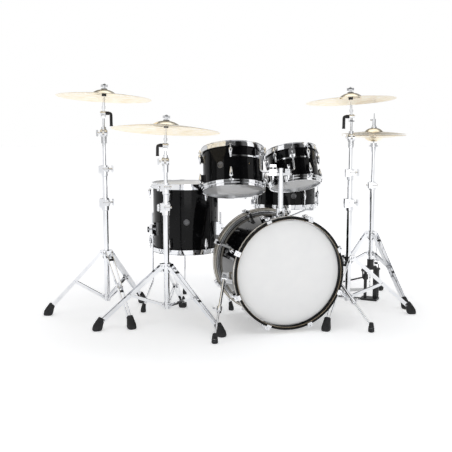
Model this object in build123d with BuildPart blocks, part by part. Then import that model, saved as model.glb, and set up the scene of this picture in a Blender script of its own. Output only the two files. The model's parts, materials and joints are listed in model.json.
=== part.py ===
from build123d import *

import os
from math import asin, atan2, cos, degrees, radians, sin, tan

os.makedirs("parts", exist_ok=True)

# An acoustic drum kit in real size, in millimetres. +Z is up, the bass drum's front looks
# along -Y, and the origin lies on the floor below the middle of the whole kit.

# ---- where things stand, from the floor point below the bass drum's front hoop
KIT_X = 145.0
KIT_Y = -487.5
AUDIENCE = -104.0            # bearing of the audience, degrees round from +X

# ---- drum shells, heads and hoops
SHELL_WALL = 6.5
BEARING_CUT = 3.0            # chamfer inside each bearing edge
VENT_RADIUS = 5.0
FILM = 0.5                   # drumhead film
FILM_GAP = 0.6               # film collar clear of the shell
COLLAR_DROP = 6.0            # the film's collar, down to the flesh ring
FLESH_RADIAL = 6.0
FLESH_HEIGHT = 7.0
RIM_STEEL = 2.3              # pressed steel hoop
RIM_RISE = 10.0              # rim above the head
RIM_SKIRT = 16.0             # the hoop's flange below the head
RIM_FLANGE = 2.0
EAR_WIDTH = 22.0
EAR_REACH = 8.0              # ear beyond the tension rod's axis
ROD_OFFSET = 17.0            # tension rod's axis outside the shell
ROD_RADIUS = 3.0
ROD_SLACK = 0.4              # clearance round a rod in an ear, a claw or a lug
LUG_MOUTH = 30.0             # a lug's mouth below the bearing edge
LUG_BELLY = 9.5
LUG_TIP = 4.0
LUG_LENGTH = 48.0
ROD_GRIP = 16.0              # how far a rod goes into its lug

# ---- bass drum
BASS_RADIUS = 254.0
BASS_DEPTH = 406.0
BASS_LIFT_FRONT = 15.0       # hoop above the floor at the front
BASS_LIFT_REAR = 8.0
BASS_LUGS = 8
BASS_HOOP_OUT = BASS_RADIUS + 21.0
BASS_HOOP_WALL = 13.0
BASS_HOOP_WIDTH = 38.0
BASS_OVERHANG = 22.0         # hoop's outer face beyond the shell's edge
BASS_ROD_OFFSET = 10.0       # claw rod's axis outside the hoop
BASS_LUG_MOUTH = 52.0
BASS_LUG_LENGTH = 60.0
CLAW_WIDTH = 24.0
CLAW_STEEL = 3.5

# ---- spurs
SPUR_PIVOT = (BASS_RADIUS + 31.0, 160.0, 250.0)
SPUR_FOOT = (BASS_RADIUS + 136.0, -85.0, 0.0)
SPUR_TUBE = 8.0
SPUR_ROD = 4.8
SPUR_SPLIT = 0.56            # share of the spur that is outer tube
KNUCKLE = 12.0
KNUCKLE_HALF = 8.0

# ---- tom holder
POST_Y = 155.0
POST_RADIUS = 12.5
POST_TOP = 787.0
POST_BOTTOM = 440.0
CLAMP_X = 40.0
ARM_Z = 770.0
ARM_RADIUS = 5.5
ARM_BEND = 14.0
ARM_RISE = 96.0              # upright run of a tom arm, from its elbow
TOM_LUGS = 5
CLAMP_LENGTH = 32.0
CLAMP_LOW = ARM_Z - 19
CLAMP_HIGH = ARM_Z + 13
BRACKET_OFFSET = 23.0        # arm's axis outside the tom's shell
BRACKET_DROP = 24.0          # bracket's top below the bearing edge

# ---- fits between pieces that move on each other
RUNNING = 0.08               # radial clearance of a shaft or a sliding tube
SIDE_GAP = 0.3               # clearance beside a knuckle

# ---- floor tom
FLOOR_RADIUS = 177.8
FLOOR_DEPTH = 356.0
FLOOR_LUGS = 6
FLOOR_LEG_RADIUS = 4.75
FLOOR_LEG_CIRCLE = 210.0
FLOOR_LEG_TOP = 534.0
FLOOR_KNEE = 165.0
FLOOR_FOOT_CIRCLE = 274.0
FLOOR_LEG_BEARINGS = (81.2, 201.2, 321.2)
FLOOR_BRACKET_LOW = 410.0
FLOOR_BRACKET_HIGH = 480.0

# ---- snare drum and its stand
SNARE_RADIUS = 177.8
SNARE_DEPTH = 140.0
SNARE_LUGS = 8
SNARE_LUG_LENGTH = 46.0
SNARE_LUG_BELLY = 7.5
WIRE_WIDTH = 42.0
WIRE_LENGTH = 318.0
THROW_ANGLE = 180 / SNARE_LUGS + 360 / SNARE_LUGS * 5     # between two lugs, on the left
THROW_WIDTH = 30.0
LEVER_LENGTH = 46.0
BASKET_DROP = 58.0           # basket's hub below the snare's lower hoop
BASKET_ARM = 5.0
SNARE_STAND_COLLAR = 372.0
SNARE_TURN = 30.0
SNARE_REACH = 215.0
SNARE_TRIPOD_TOP = 235.0
SNARE_TRIPOD_LOW = 100.0
ARM_COUNT = 3

# ---- cymbal stands and the hi-hat's tripod
LOW_TUBE = 14.3
MID_TUBE = 12.7
TOP_TUBE = 9.5
BOOM_ROD = 6.0
COLLAR = 21.0
TRIPOD_LOW = 113.0            # top of a tripod's lower collar
WING_TURN = {"crash_left": 20.0, "ride": 200.0, "crash_right": 0.0}
TOP_INSERT = 170.0           # upper tube inside the middle one
LEG_WIDTH = 20.0
LEG_STEEL = 2.5
LEG_SPREAD = 15.0            # half gap of a double leg at its collar
LEG_CLOSE = 6.5              # the same at its foot
STRUT_WIDTH = 15.0
STRUT_SPREAD = 6.0
STRUT_SHARE = 0.5            # how far out along a leg the strut takes hold
STAND_FOOT_RADIUS = 26.0
STAND_FOOT_HEIGHT = 58.0
FOOT_TOP_SHARE = 0.55        # the foot's top radius as a share of its base
TILTER_DISC = 12.0
TILTER_HALF = 7.0
TILTER_EAR = 4.5
PIN_RADIUS = 3.5
POST_STEEL = 4.0             # cymbal post
SLEEVE = 6.0
CYMBAL_THICK = 1.2
BELL_SHARE = 0.27            # bell's radius as a share of the cymbal's
BELL_RISE = 22.0
CYMBAL_HOLE = 6.7
FELT_RADIUS = 16.0
FELT_HEIGHT = 7.0
FELT_GIVE = 1.8              # room for the felts when the cymbal rocks

# ---- hi-hat
HAT_SPOT = (671.0, 545.0)
HAT_TURN = 52.0
HAT_REACH = 270.0
HAT_RADIUS = 178.0
HAT_RIM = 938.0              # rim plane of the lower cymbal
HAT_OPEN = 6.0
HAT_BOW = 13.0
HAT_BELL = 20.0
HAT_BELL_RADIUS = 52.0
HAT_ROD = 3.2
HAT_ROD_TOP = 1059.0
HAT_ROD_LOW = 214.0
HAT_HEADING = 141.0          # bearing of the pedal's heel from the column
HAT_COLLAR = 678.0
HAT_TRIPOD_TOP = 398.0
HAT_TRIPOD_LOW = 284.0
HAT_FRAME_TOP = 236.0
HAT_UPRIGHT = 17.0           # half gap between the pedal frame's uprights

# ---- pedals
BOARD_THICK = 6.0
HEEL_PIN = 3.0
HEEL_KNUCKLE = 7.0
HEEL_HEIGHT = 24.0
KICK_TOE = (0.0, 540.0)
KICK_LENGTH = 225.0
KICK_WIDTH = 78.0
KICK_RISE = 78.0
KICK_AXLE_Y = 497.0
KICK_AXLE_Z = 232.0
KICK_AXLE = 5.0
KICK_HALF = 44.0             # half distance between the pedal's uprights
BEATER_REACH = 150.0
BEATER_REST = 45.0
HAT_TOE = 34.0
HAT_BOARD = 236.0
HAT_BOARD_WIDTH = 66.0
HAT_BOARD_RISE = 52.0


def spot(x, y, z=0.0):
    """A place given from the floor point below the bass drum's front hoop."""
    return Vector(KIT_X + x, KIT_Y + y, z)


def bearing(angle, height=0.0):
    """The level direction at an angle round from +X, or one that also climbs."""
    return Vector(cos(radians(angle)), sin(radians(angle)), height)


def squared(direction, axis):
    """The part of a direction that is square to an axis, as a unit vector."""
    return (direction - axis * direction.dot(axis)).normalized()


def leaning(away, right):
    """A nearly upright direction, leaning from the audience and to its right, in degrees."""
    back = bearing(AUDIENCE + 180) * tan(radians(away))
    side = bearing(AUDIENCE + 90) * tan(radians(right))
    return (Vector(0, 0, 1) + back + side).normalized()


def seat_at(centre, axis, zero):
    """A plane across a drum's or a cymbal's axis, with angle 0 at the bearing given."""
    return Plane(origin=centre, x_dir=squared(bearing(zero), axis), z_dir=axis)


def both_ends(seat, depth):
    """The planes of a drum's two bearing edges, each facing out."""
    reach = seat.z_dir * (depth / 2)
    top = Plane(origin=seat.origin + reach, x_dir=seat.x_dir, z_dir=seat.z_dir)
    bottom = Plane(origin=seat.origin - reach, x_dir=seat.x_dir, z_dir=-seat.z_dir)
    return top, bottom


def disc(seat, radius, low, high, mode=Mode.ADD):
    """Add a round plate or cylinder between two heights on a seat."""
    with BuildSketch(seat.offset(low)) as section:
        Circle(radius)
    extrude(section.sketch, amount=high - low, mode=mode)


def ring(seat, outer, inner, low, high, mode=Mode.ADD):
    """Add a ring or tube between two heights on a seat."""
    with BuildSketch(seat.offset(low)) as section:
        Circle(outer)
        Circle(inner, mode=Mode.SUBTRACT)
    extrude(section.sketch, amount=high - low, mode=mode)


def block(seat, size_x, size_y, low, high, at=(0, 0), mode=Mode.ADD):
    """Add a rectangular block between two heights on a seat."""
    with BuildSketch(seat.offset(low)) as section:
        with Locations(at):
            Rectangle(size_x, size_y)
    extrude(section.sketch, amount=high - low, mode=mode)


def rod(start, end, radius, mode=Mode.ADD):
    """Add a round bar between two points."""
    start = Vector(start)
    run = Vector(end) - start
    with BuildSketch(Plane(origin=start, z_dir=run.normalized())) as section:
        Circle(radius)
    extrude(section.sketch, amount=run.length, mode=mode)


def flat_bar(start, end, across, width, thickness):
    """Add a flat bar between two points, thin along the direction given."""
    run = end - start
    along = run.normalized()
    with BuildSketch(Plane(origin=start, x_dir=squared(across, along), z_dir=along)) as section:
        Rectangle(thickness, width)
    extrude(section.sketch, amount=run.length)


def bent_rod(points, bend, radius):
    """Add a round bar along straight runs joined by equal bends."""
    with BuildLine() as path:
        FilletPolyline(*points, radius=bend)
    with BuildSketch(Plane(origin=path.line @ 0, z_dir=path.line % 0)) as section:
        Circle(radius)
    sweep(section.sketch, path=path.line)


def hand_over(piece, label):
    """Name a finished piece and write its file."""
    piece.part.label = label
    export_step(piece.part, f"parts/{label}.step")


# ---------------------------------------------------------------- shared small pieces

def wing_screw(reach, span):
    """A screw with two wings, along +X from the face it clamps."""
    with BuildPart() as screw:
        with BuildSketch(Plane.YZ) as stem:
            Circle(3.2)
        extrude(amount=reach)
        with BuildSketch(Plane.YZ.offset(reach - 8)) as boss:
            Circle(5.5)
        extrude(amount=10)
        with BuildSketch(Plane.XZ) as wings:
            with Locations((reach + 4, 0)):
                SlotOverall(span, 11, rotation=90)
        extrude(amount=1.8, both=True)
    return screw.part


def drum_head(radius):
    """A drumhead for a shell of the radius given: film, collar and flesh ring."""
    inside = radius + FILM_GAP
    with BuildPart() as head:
        disc(Plane.XY, inside + FILM, 0, FILM)
        ring(Plane.XY, inside + FILM, inside, -COLLAR_DROP, 0)
        ring(Plane.XY, radius + FLESH_RADIAL, inside, -COLLAR_DROP - FLESH_HEIGHT, -COLLAR_DROP)
    return head.part


def pressed_hoop(radius, lugs):
    """A flanged steel hoop: rim, shoulder over the flesh ring, skirt and drilled ears."""
    wall = radius + FILM_GAP + FILM + 0.6
    skirt = radius + FLESH_RADIAL + 0.6
    steel = RIM_STEEL
    rods = radius + ROD_OFFSET
    with BuildPart() as hoop:
        with BuildSketch(Plane.XZ) as section:
            with BuildLine() as outline:
                Polyline(
                    (wall, -COLLAR_DROP),
                    (wall, RIM_RISE - steel),
                    (wall + 1.5, RIM_RISE),
                    (wall + steel + 3.5, RIM_RISE),
                    (wall + steel + 3.5, RIM_RISE - steel),
                    (wall + steel, RIM_RISE - steel - 1),
                    (wall + steel, -COLLAR_DROP + steel),
                    (skirt + steel, -COLLAR_DROP + steel),
                    (skirt + steel, -RIM_SKIRT),
                    (skirt + steel + RIM_FLANGE, -RIM_SKIRT),
                    (skirt + steel + RIM_FLANGE, -RIM_SKIRT - steel),
                    (skirt, -RIM_SKIRT - steel),
                    (skirt, -COLLAR_DROP),
                    close=True,
                )
            make_face()
        revolve(axis=Axis.Z)
        ear_start = skirt + 1
        ear_length = rods + EAR_REACH - ear_start
        with BuildSketch(Plane.XY.offset(-RIM_SKIRT - steel)) as ears:
            with PolarLocations(0, lugs):
                with Locations((ear_start + ear_length / 2, 0)):
                    RectangleRounded(ear_length, EAR_WIDTH, 3)
        extrude(amount=steel)
        with BuildSketch(Plane.XY.offset(-RIM_SKIRT - steel)) as holes:
            with PolarLocations(rods, lugs):
                Circle(ROD_RADIUS + ROD_SLACK)
        extrude(amount=steel, mode=Mode.SUBTRACT)
    return hoop.part


def tension_rod(circle, seat_height, mouth):
    """A tension rod with its washer and square head, from the hoop's ear into a lug."""
    axis = Plane(origin=(circle, 0, 0))
    with BuildPart() as piece:
        disc(axis, 6.0, seat_height, seat_height + 1.4)
        disc(axis, 4.8, seat_height + 1.4, seat_height + 6)
        block(axis, 5.6, 5.6, seat_height + 6, seat_height + 12)
        disc(axis, ROD_RADIUS, mouth - ROD_GRIP, seat_height)
    return piece.part


def teardrop_lug(radius, circle, mouth, length, belly):
    """A cast lug: a teardrop round the rod's axis on a web that stands on the shell."""
    end = mouth - length
    with BuildPart() as lug:
        with BuildSketch(Plane.XZ) as section:
            with BuildLine() as outline:
                Line((circle, mouth), (circle + 0.72 * belly, mouth))
                Spline(
                    (circle + 0.72 * belly, mouth),
                    (circle + belly, mouth - 0.26 * length),
                    (circle + LUG_TIP, end + LUG_TIP),
                    tangents=((1, -0.9), (-0.12, -1)),
                )
                ThreePointArc(
                    (circle + LUG_TIP, end + LUG_TIP),
                    (circle + LUG_TIP * cos(radians(45)), end + LUG_TIP * (1 - sin(radians(45)))),
                    (circle, end),
                )
                Line((circle, end), (circle, mouth))
            make_face()
        revolve(axis=Axis((circle, 0, 0), (0, 0, 1)))
        web = circle - radius + 4
        block(Plane(origin=(circle - web / 2, 0, 0)), web, belly * 1.1, end + 7, mouth - 5)
        disc(Plane.XY, radius, end, mouth, mode=Mode.SUBTRACT)
        bore = Plane(origin=(circle, 0, 0))
        disc(bore, ROD_RADIUS + ROD_SLACK, mouth - ROD_GRIP - 3, mouth, mode=Mode.SUBTRACT)
    return lug.part


def spear_lug(radius, circle, length, belly):
    """A lug with a mouth at each end, for a shallow drum, centred on the shell's middle."""
    half = length / 2
    with BuildPart() as lug:
        with BuildSketch(Plane.XZ) as section:
            with BuildLine() as outline:
                Line((circle, half), (circle + 0.62 * belly, half))
                ThreePointArc(
                    (circle + 0.62 * belly, half),
                    (circle + belly, 0),
                    (circle + 0.62 * belly, -half),
                )
                Line((circle + 0.62 * belly, -half), (circle, -half))
                Line((circle, -half), (circle, half))
            make_face()
        revolve(axis=Axis((circle, 0, 0), (0, 0, 1)))
        web = circle - radius + 4
        block(Plane(origin=(circle - web / 2, 0, 0)), web, belly * 1.1, -half + 9, half - 9)
        disc(Plane.XY, radius, -half, half, mode=Mode.SUBTRACT)
        bore = Plane(origin=(circle, 0, 0))
        disc(bore, ROD_RADIUS + ROD_SLACK, half - ROD_GRIP - 3, half, mode=Mode.SUBTRACT)
        disc(bore, ROD_RADIUS + ROD_SLACK, -half, ROD_GRIP + 3 - half, mode=Mode.SUBTRACT)
    return lug.part


def drum_shell(seat, radius, depth, wall, vent):
    """A ply shell with bearing edges and a vent hole at the angle given."""
    with BuildPart() as shell:
        ring(seat, radius, radius - wall, -depth / 2, depth / 2)
        rims = shell.edges().filter_by(GeomType.CIRCLE).group_by(SortBy.RADIUS)[0]
        chamfer(rims, min(BEARING_CUT, wall / 2))
        out = seat.x_dir * cos(radians(vent)) + seat.y_dir * sin(radians(vent))
        rod(seat.origin + out * (radius - 2 * wall), seat.origin + out * (radius + 5),
            VENT_RADIUS, mode=Mode.SUBTRACT)
    return shell


def heads_and_hoops(label, seat, radius, depth, lugs):
    """Write a drum's two heads and its two pressed hoops."""
    ends = both_ends(seat, depth)
    with BuildPart() as heads:
        with Locations(*ends):
            add(drum_head(radius))
    hand_over(heads, f"{label}_heads")
    with BuildPart() as hoops:
        with Locations(*ends):
            add(pressed_hoop(radius, lugs))
    return hoops


def lugs_and_rods(seat, radius, depth, lugs):
    """A drum's lugs at both ends, each with its tension rod."""
    circle = radius + ROD_OFFSET
    with BuildPart() as fittings:
        with Locations(*both_ends(seat, depth)):
            with PolarLocations(0, lugs):
                add(teardrop_lug(radius, circle, -LUG_MOUTH, LUG_LENGTH, LUG_BELLY))
                add(tension_rod(circle, -RIM_SKIRT, -LUG_MOUTH))
    return fittings


# ---------------------------------------------------------------- bass drum

bass_tilt = asin((BASS_LIFT_FRONT - BASS_LIFT_REAR) / (BASS_DEPTH + 2 * BASS_OVERHANG))
bass_middle = BASS_DEPTH / 2 + BASS_OVERHANG
bass_height = BASS_HOOP_OUT + (BASS_LIFT_FRONT + BASS_LIFT_REAR) / 2
bass_seat = Plane(
    origin=spot(0, bass_middle, bass_height),
    x_dir=(1, 0, 0),
    z_dir=(0, -cos(bass_tilt), sin(bass_tilt)),
)
bass_ends = both_ends(bass_seat, BASS_DEPTH)
post_foot = spot(0, POST_Y)

bass_shell = drum_shell(bass_seat, BASS_RADIUS, BASS_DEPTH, SHELL_WALL, -90)
with BuildPart() as bass_shell_drilled:
    add(bass_shell.part)
    rod(post_foot + Vector(0, 0, bass_height), post_foot + Vector(0, 0, POST_TOP),
        POST_RADIUS + 1.5, mode=Mode.SUBTRACT)
hand_over(bass_shell_drilled, "bass_shell")

with BuildPart() as bass_heads:
    with Locations(*bass_ends):
        add(drum_head(BASS_RADIUS))
hand_over(bass_heads, "bass_heads")

with BuildPart() as bass_hoops:
    for end in bass_ends:
        ring(end, BASS_HOOP_OUT, BASS_HOOP_OUT - BASS_HOOP_WALL,
             BASS_OVERHANG - BASS_HOOP_WIDTH, BASS_OVERHANG)
hand_over(bass_hoops, "bass_hoops")

bass_rod_circle = BASS_HOOP_OUT + BASS_ROD_OFFSET
with BuildPart() as bass_lugs:
    with Locations(*bass_ends):
        with PolarLocations(0, BASS_LUGS, start_angle=180 / BASS_LUGS):
            add(teardrop_lug(BASS_RADIUS, bass_rod_circle, -BASS_LUG_MOUTH, BASS_LUG_LENGTH, 11))
hand_over(bass_lugs, "bass_lugs")

claw_seat = BASS_OVERHANG - 10
claw_low = BASS_OVERHANG - BASS_HOOP_WIDTH + 6
with BuildPart() as claw:
    with BuildSketch(Plane.XZ) as claw_side:
        with BuildLine() as claw_outline:
            Polyline(
                (BASS_HOOP_OUT - BASS_HOOP_WALL + 3, BASS_OVERHANG),
                (BASS_HOOP_OUT - BASS_HOOP_WALL + 3, BASS_OVERHANG + CLAW_STEEL),
                (BASS_HOOP_OUT + CLAW_STEEL, BASS_OVERHANG + CLAW_STEEL),
                (BASS_HOOP_OUT + CLAW_STEEL, claw_seat),
                (bass_rod_circle + 7, claw_seat),
                (bass_rod_circle + 7, claw_low + 6),
                (BASS_HOOP_OUT + CLAW_STEEL, claw_low),
                (BASS_HOOP_OUT, claw_low),
                (BASS_HOOP_OUT, BASS_OVERHANG),
                close=True,
            )
        make_face()
    extrude(amount=CLAW_WIDTH / 2, both=True)
    rod((bass_rod_circle, 0, claw_low - 5), (bass_rod_circle, 0, claw_seat + 5),
        ROD_RADIUS + ROD_SLACK, mode=Mode.SUBTRACT)
with BuildPart() as bass_claws:
    with Locations(*bass_ends):
        with PolarLocations(0, BASS_LUGS, start_angle=180 / BASS_LUGS):
            add(claw.part)
            add(tension_rod(bass_rod_circle, claw_seat, -BASS_LUG_MOUTH))
hand_over(bass_claws, "bass_claws")


def spur_frame(side):
    """A spur's hinge frame: +X along the spur, +Z along the pin, away from the drum."""
    pivot = spot(side * SPUR_PIVOT[0], SPUR_PIVOT[1], SPUR_PIVOT[2])
    foot = spot(side * SPUR_FOOT[0], SPUR_FOOT[1], SPUR_FOOT[2])
    along = (foot + Vector(0, 0, 30) - pivot).normalized()
    return Plane(origin=pivot, x_dir=along, z_dir=squared(Vector(side, 0, 0), along)), foot


ear_low = KNUCKLE_HALF + SIDE_GAP
ear_high = ear_low + 5
with BuildPart() as spur_brackets:
    for side in (-1, 1):
        frame, foot = spur_frame(side)
        for low, high in ((ear_low, ear_high), (-ear_high, -ear_low)):
            disc(frame, KNUCKLE + 1, low, high)
            block(frame, 28, 2 * KNUCKLE, low, high, at=(-14, 0))
        block(frame, 12, 2 * KNUCKLE, -ear_high, ear_high, at=(-KNUCKLE - 9, 0))
        block(frame, 44, 34, -46, -ear_high, at=(-9, 0))
        disc(frame, PIN_RADIUS, -ear_high, ear_high)
    disc(bass_seat, BASS_RADIUS, -BASS_DEPTH / 2, BASS_DEPTH / 2, mode=Mode.SUBTRACT)
crown = bass_height + BASS_RADIUS
with BuildPart() as holder_base:
    block(Plane(origin=post_foot), 68, 58, crown - 24, crown + 12)
    disc(Plane(origin=post_foot), 22, crown + 12, crown + 50)
    disc(bass_seat, BASS_RADIUS, -BASS_DEPTH / 2, BASS_DEPTH / 2, mode=Mode.SUBTRACT)
    disc(Plane(origin=post_foot), POST_RADIUS + RUNNING, crown - 30, crown + 60, mode=Mode.SUBTRACT)
    with Locations(Location(post_foot + Vector(21, 0, crown + 32))):
        add(wing_screw(16, 34))

with BuildPart() as bass_brackets:
    add(spur_brackets.part)
    add(holder_base.part)
hand_over(bass_brackets, "bass_brackets")

for side, name in ((-1, "left"), (1, "right")):
    frame, foot = spur_frame(side)
    reach = (foot + Vector(0, 0, 30) - frame.origin).length
    split = reach * SPUR_SPLIT
    with BuildPart() as spur:
        disc(frame, KNUCKLE, -KNUCKLE_HALF, KNUCKLE_HALF)
        rod(frame.origin, frame.origin + frame.x_dir * split, SPUR_TUBE - 0.5)
        rod(frame.origin + frame.x_dir * (split - 20), frame.origin + frame.x_dir * (split + 10),
            SPUR_TUBE + 4)
        rod(frame.origin, frame.origin + frame.x_dir * reach, SPUR_ROD)
        with BuildSketch(Plane(origin=foot, x_dir=(1, 0, 0), z_dir=(0, -1, 0))) as boot:
            with BuildLine() as boot_outline:
                Polyline((0, 0), (12, 0), (15, 4), (14, 22), (9, 46), (0, 46), close=True)
            make_face()
        revolve(axis=Axis(foot, (0, 0, 1)))
        disc(frame, PIN_RADIUS + RUNNING, -ear_high, ear_high, mode=Mode.SUBTRACT)
    hand_over(spur, f"spur_{name}")


# ---------------------------------------------------------------- toms and their holder

class Tom:
    """A mounted tom: its shell, where its axis lies and where its bracket and lugs face."""

    def __init__(self, label, inches, depth, low, high, lug_bearing, bracket_bearing, side):
        self.label = label
        self.radius = inches * 12.7
        self.depth = depth
        middle = (Vector(low) + Vector(high)) / 2
        axis = (Vector(high) - Vector(low)).normalized()
        self.seat = seat_at(spot(*middle), axis, lug_bearing)
        self.toward = squared(bearing(bracket_bearing), axis)
        self.line = self.seat.origin + self.toward * (self.radius + BRACKET_OFFSET)
        self.clamp = spot(side * CLAMP_X, POST_Y, ARM_Z)
        climb = (ARM_Z - self.line.Z) / axis.Z
        self.elbow = self.line + axis * climb
        self.run = (self.elbow - self.clamp).normalized()


toms = [
    Tom("tom12", 12, 203.0, (-204, 288, 664), (-193, 355, 873), -107.5, -55.5, -1),
    Tom("tom10", 10, 178.0, (147, 357, 680), (142, 420, 864), -74.0, -107.0, 1),
]

with BuildPart() as holder_post:
    disc(Plane(origin=post_foot), POST_RADIUS, POST_BOTTOM, POST_TOP)
    disc(Plane(origin=post_foot), POST_RADIUS - 2, POST_BOTTOM, POST_TOP - 20, mode=Mode.SUBTRACT)
    block(Plane(origin=post_foot), 2 * CLAMP_X + 20, 22, CLAMP_LOW, ARM_Z - ARM_RADIUS - 1)
    for tom in toms:
        turned = Plane(origin=Vector(tom.clamp.X, tom.clamp.Y, 0), x_dir=tom.run, z_dir=(0, 0, 1))
        block(turned, CLAMP_LENGTH, 26, CLAMP_LOW, CLAMP_HIGH)
        disc(turned, 4, CLAMP_LOW - 22, CLAMP_LOW)
        disc(turned, 6.5, CLAMP_LOW - 12, CLAMP_LOW)
        disc(turned, 3.5, CLAMP_HIGH, CLAMP_HIGH + 8)
        disc(turned, 7, CLAMP_HIGH + 6, CLAMP_HIGH + 13)
        block(turned, 32, 4, CLAMP_HIGH + 9, CLAMP_HIGH + 22)
    for tom in toms:
        rod(tom.clamp - tom.run * (CLAMP_LENGTH + 2), tom.clamp + tom.run * (CLAMP_LENGTH + 20),
            ARM_RADIUS + RUNNING, mode=Mode.SUBTRACT)
    disc(Plane(origin=post_foot), POST_RADIUS, ARM_Z - 8, POST_TOP)
hand_over(holder_post, "tom_holder_post")

for tom in toms:
    tip = tom.elbow + tom.seat.z_dir * ARM_RISE
    with BuildPart() as arm:
        bent_rod((tom.clamp - tom.run * (CLAMP_LENGTH / 2 + 7), tom.elbow, tip), ARM_BEND, ARM_RADIUS)
    hand_over(arm, f"{tom.label}_arm")

    shell = drum_shell(tom.seat, tom.radius, tom.depth, SHELL_WALL, 36)
    hand_over(shell, f"{tom.label}_shell")
    hoops = heads_and_hoops(tom.label, tom.seat, tom.radius, tom.depth, TOM_LUGS)
    hand_over(hoops, f"{tom.label}_hoops")
    fittings = lugs_and_rods(tom.seat, tom.radius, tom.depth, TOM_LUGS)
    hand_over(fittings, f"{tom.label}_lugs")

    # The suspension: a rail between the two lugs beside the bracket, a plate and a rod block.
    top = tom.seat.offset(tom.depth / 2)
    facing = Plane(origin=top.origin, x_dir=tom.toward, z_dir=top.z_dir)
    turn = degrees(atan2(tom.toward.dot(top.y_dir), tom.toward.dot(top.x_dir)))
    step = 360 / TOM_LUGS
    first = step * (turn // step) - turn
    margin = degrees(0.5 * LUG_BELLY * 1.1 / tom.radius) + 0.6
    rail_level = -LUG_MOUTH - LUG_LENGTH + 12
    ear = bearing(first + margin)
    rail_x = facing.x_dir * ear.X + facing.y_dir * ear.Y
    rail_start = Plane(origin=facing.origin, x_dir=rail_x, z_dir=rail_x.cross(facing.z_dir))
    with BuildPart() as suspension:
        with BuildSketch(rail_start) as rail:
            with Locations((tom.radius + 5.5, rail_level)):
                Rectangle(3.5, 7)
        revolve(axis=Axis(facing.origin, facing.z_dir), revolution_arc=step - 2 * margin)
        plate = Plane(origin=facing.origin + facing.x_dir * (tom.radius + 3.5),
                      x_dir=facing.x_dir, z_dir=facing.z_dir)
        block(plate, 4, 34, rail_level - 3, -BRACKET_DROP)
        socket = Plane(origin=facing.origin + facing.x_dir * (tom.radius + BRACKET_OFFSET),
                       x_dir=facing.x_dir, z_dir=facing.z_dir)
        block(socket, 36, 26, rail_level + 8, -BRACKET_DROP, at=(-2, 0))
        disc(socket, ARM_RADIUS + 0.1, rail_level - 30, 10, mode=Mode.SUBTRACT)
        disc(top, tom.radius + 0.4, -tom.depth, 0, mode=Mode.SUBTRACT)
        screw_at = socket.origin + socket.z_dir * (-BRACKET_DROP - 14) + socket.x_dir * 15.5
        with Locations(Plane(origin=screw_at, x_dir=socket.x_dir, z_dir=socket.z_dir)):
            add(wing_screw(10, 28))
    hand_over(suspension, f"{tom.label}_suspension")


# ---------------------------------------------------------------- floor tom

floor_seat = seat_at(spot(-376, 667, 500), Vector(0, 0, 1), AUDIENCE + 36)

floor_shell = drum_shell(floor_seat, FLOOR_RADIUS, FLOOR_DEPTH, SHELL_WALL, 30)
hand_over(floor_shell, "floor_tom_shell")
floor_hoops = heads_and_hoops("floor_tom", floor_seat, FLOOR_RADIUS, FLOOR_DEPTH, FLOOR_LUGS)
hand_over(floor_hoops, "floor_tom_hoops")
floor_lugs = lugs_and_rods(floor_seat, FLOOR_RADIUS, FLOOR_DEPTH, FLOOR_LUGS)
hand_over(floor_lugs, "floor_tom_lugs")

floor_middle = Vector(floor_seat.origin.X, floor_seat.origin.Y, 0)
with BuildPart() as floor_brackets:
    for angle in FLOOR_LEG_BEARINGS:
        out = bearing(angle)
        leg = Plane(origin=floor_middle + out * FLOOR_LEG_CIRCLE, x_dir=out, z_dir=(0, 0, 1))
        stand_off = FLOOR_LEG_CIRCLE - FLOOR_RADIUS
        block(leg, stand_off + 4, 24, FLOOR_BRACKET_LOW, FLOOR_BRACKET_HIGH, at=(-stand_off / 2 - 2, 0))
        block(leg, 22, 30, FLOOR_BRACKET_LOW + 10, FLOOR_BRACKET_HIGH - 10)
        disc(leg, FLOOR_LEG_RADIUS + RUNNING, 0, FLOOR_LEG_TOP, mode=Mode.SUBTRACT)
        face = leg.origin + out * 10.5 + Vector(0, 0, (FLOOR_BRACKET_LOW + FLOOR_BRACKET_HIGH) / 2)
        with Locations(Plane(origin=face, x_dir=out, z_dir=(0, 0, 1))):
            add(wing_screw(12, 32))
    disc(Plane(origin=floor_middle), FLOOR_RADIUS, 0, FLOOR_LEG_TOP, mode=Mode.SUBTRACT)
hand_over(floor_brackets, "floor_tom_brackets")

with BuildPart() as floor_legs:
    for angle in FLOOR_LEG_BEARINGS:
        out = bearing(angle)
        shin = (floor_middle + out * FLOOR_LEG_CIRCLE, floor_middle + out * FLOOR_FOOT_CIRCLE)
        bent_rod(
            (shin[0] + Vector(0, 0, FLOOR_LEG_TOP), shin[0] + Vector(0, 0, FLOOR_KNEE),
             shin[1] + Vector(0, 0, 30)),
            40, FLOOR_LEG_RADIUS)
hand_over(floor_legs, "floor_tom_legs")


# ---------------------------------------------------------------- snare drum

snare_axis = leaning(1.5, 0)
snare_seat = seat_at(spot(264, 877, 588), snare_axis, AUDIENCE + 31)
snare_circle = SNARE_RADIUS + ROD_OFFSET
snare_top, snare_bottom = both_ends(snare_seat, SNARE_DEPTH)
throw_dir = bearing(THROW_ANGLE)
throw_out = (snare_seat.x_dir * throw_dir.X + snare_seat.y_dir * throw_dir.Y).normalized()
throw_plane = Plane(origin=snare_seat.origin, x_dir=throw_out, z_dir=snare_axis)
wire_plane = Plane(origin=snare_bottom.origin, x_dir=throw_out, z_dir=-snare_axis)

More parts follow.
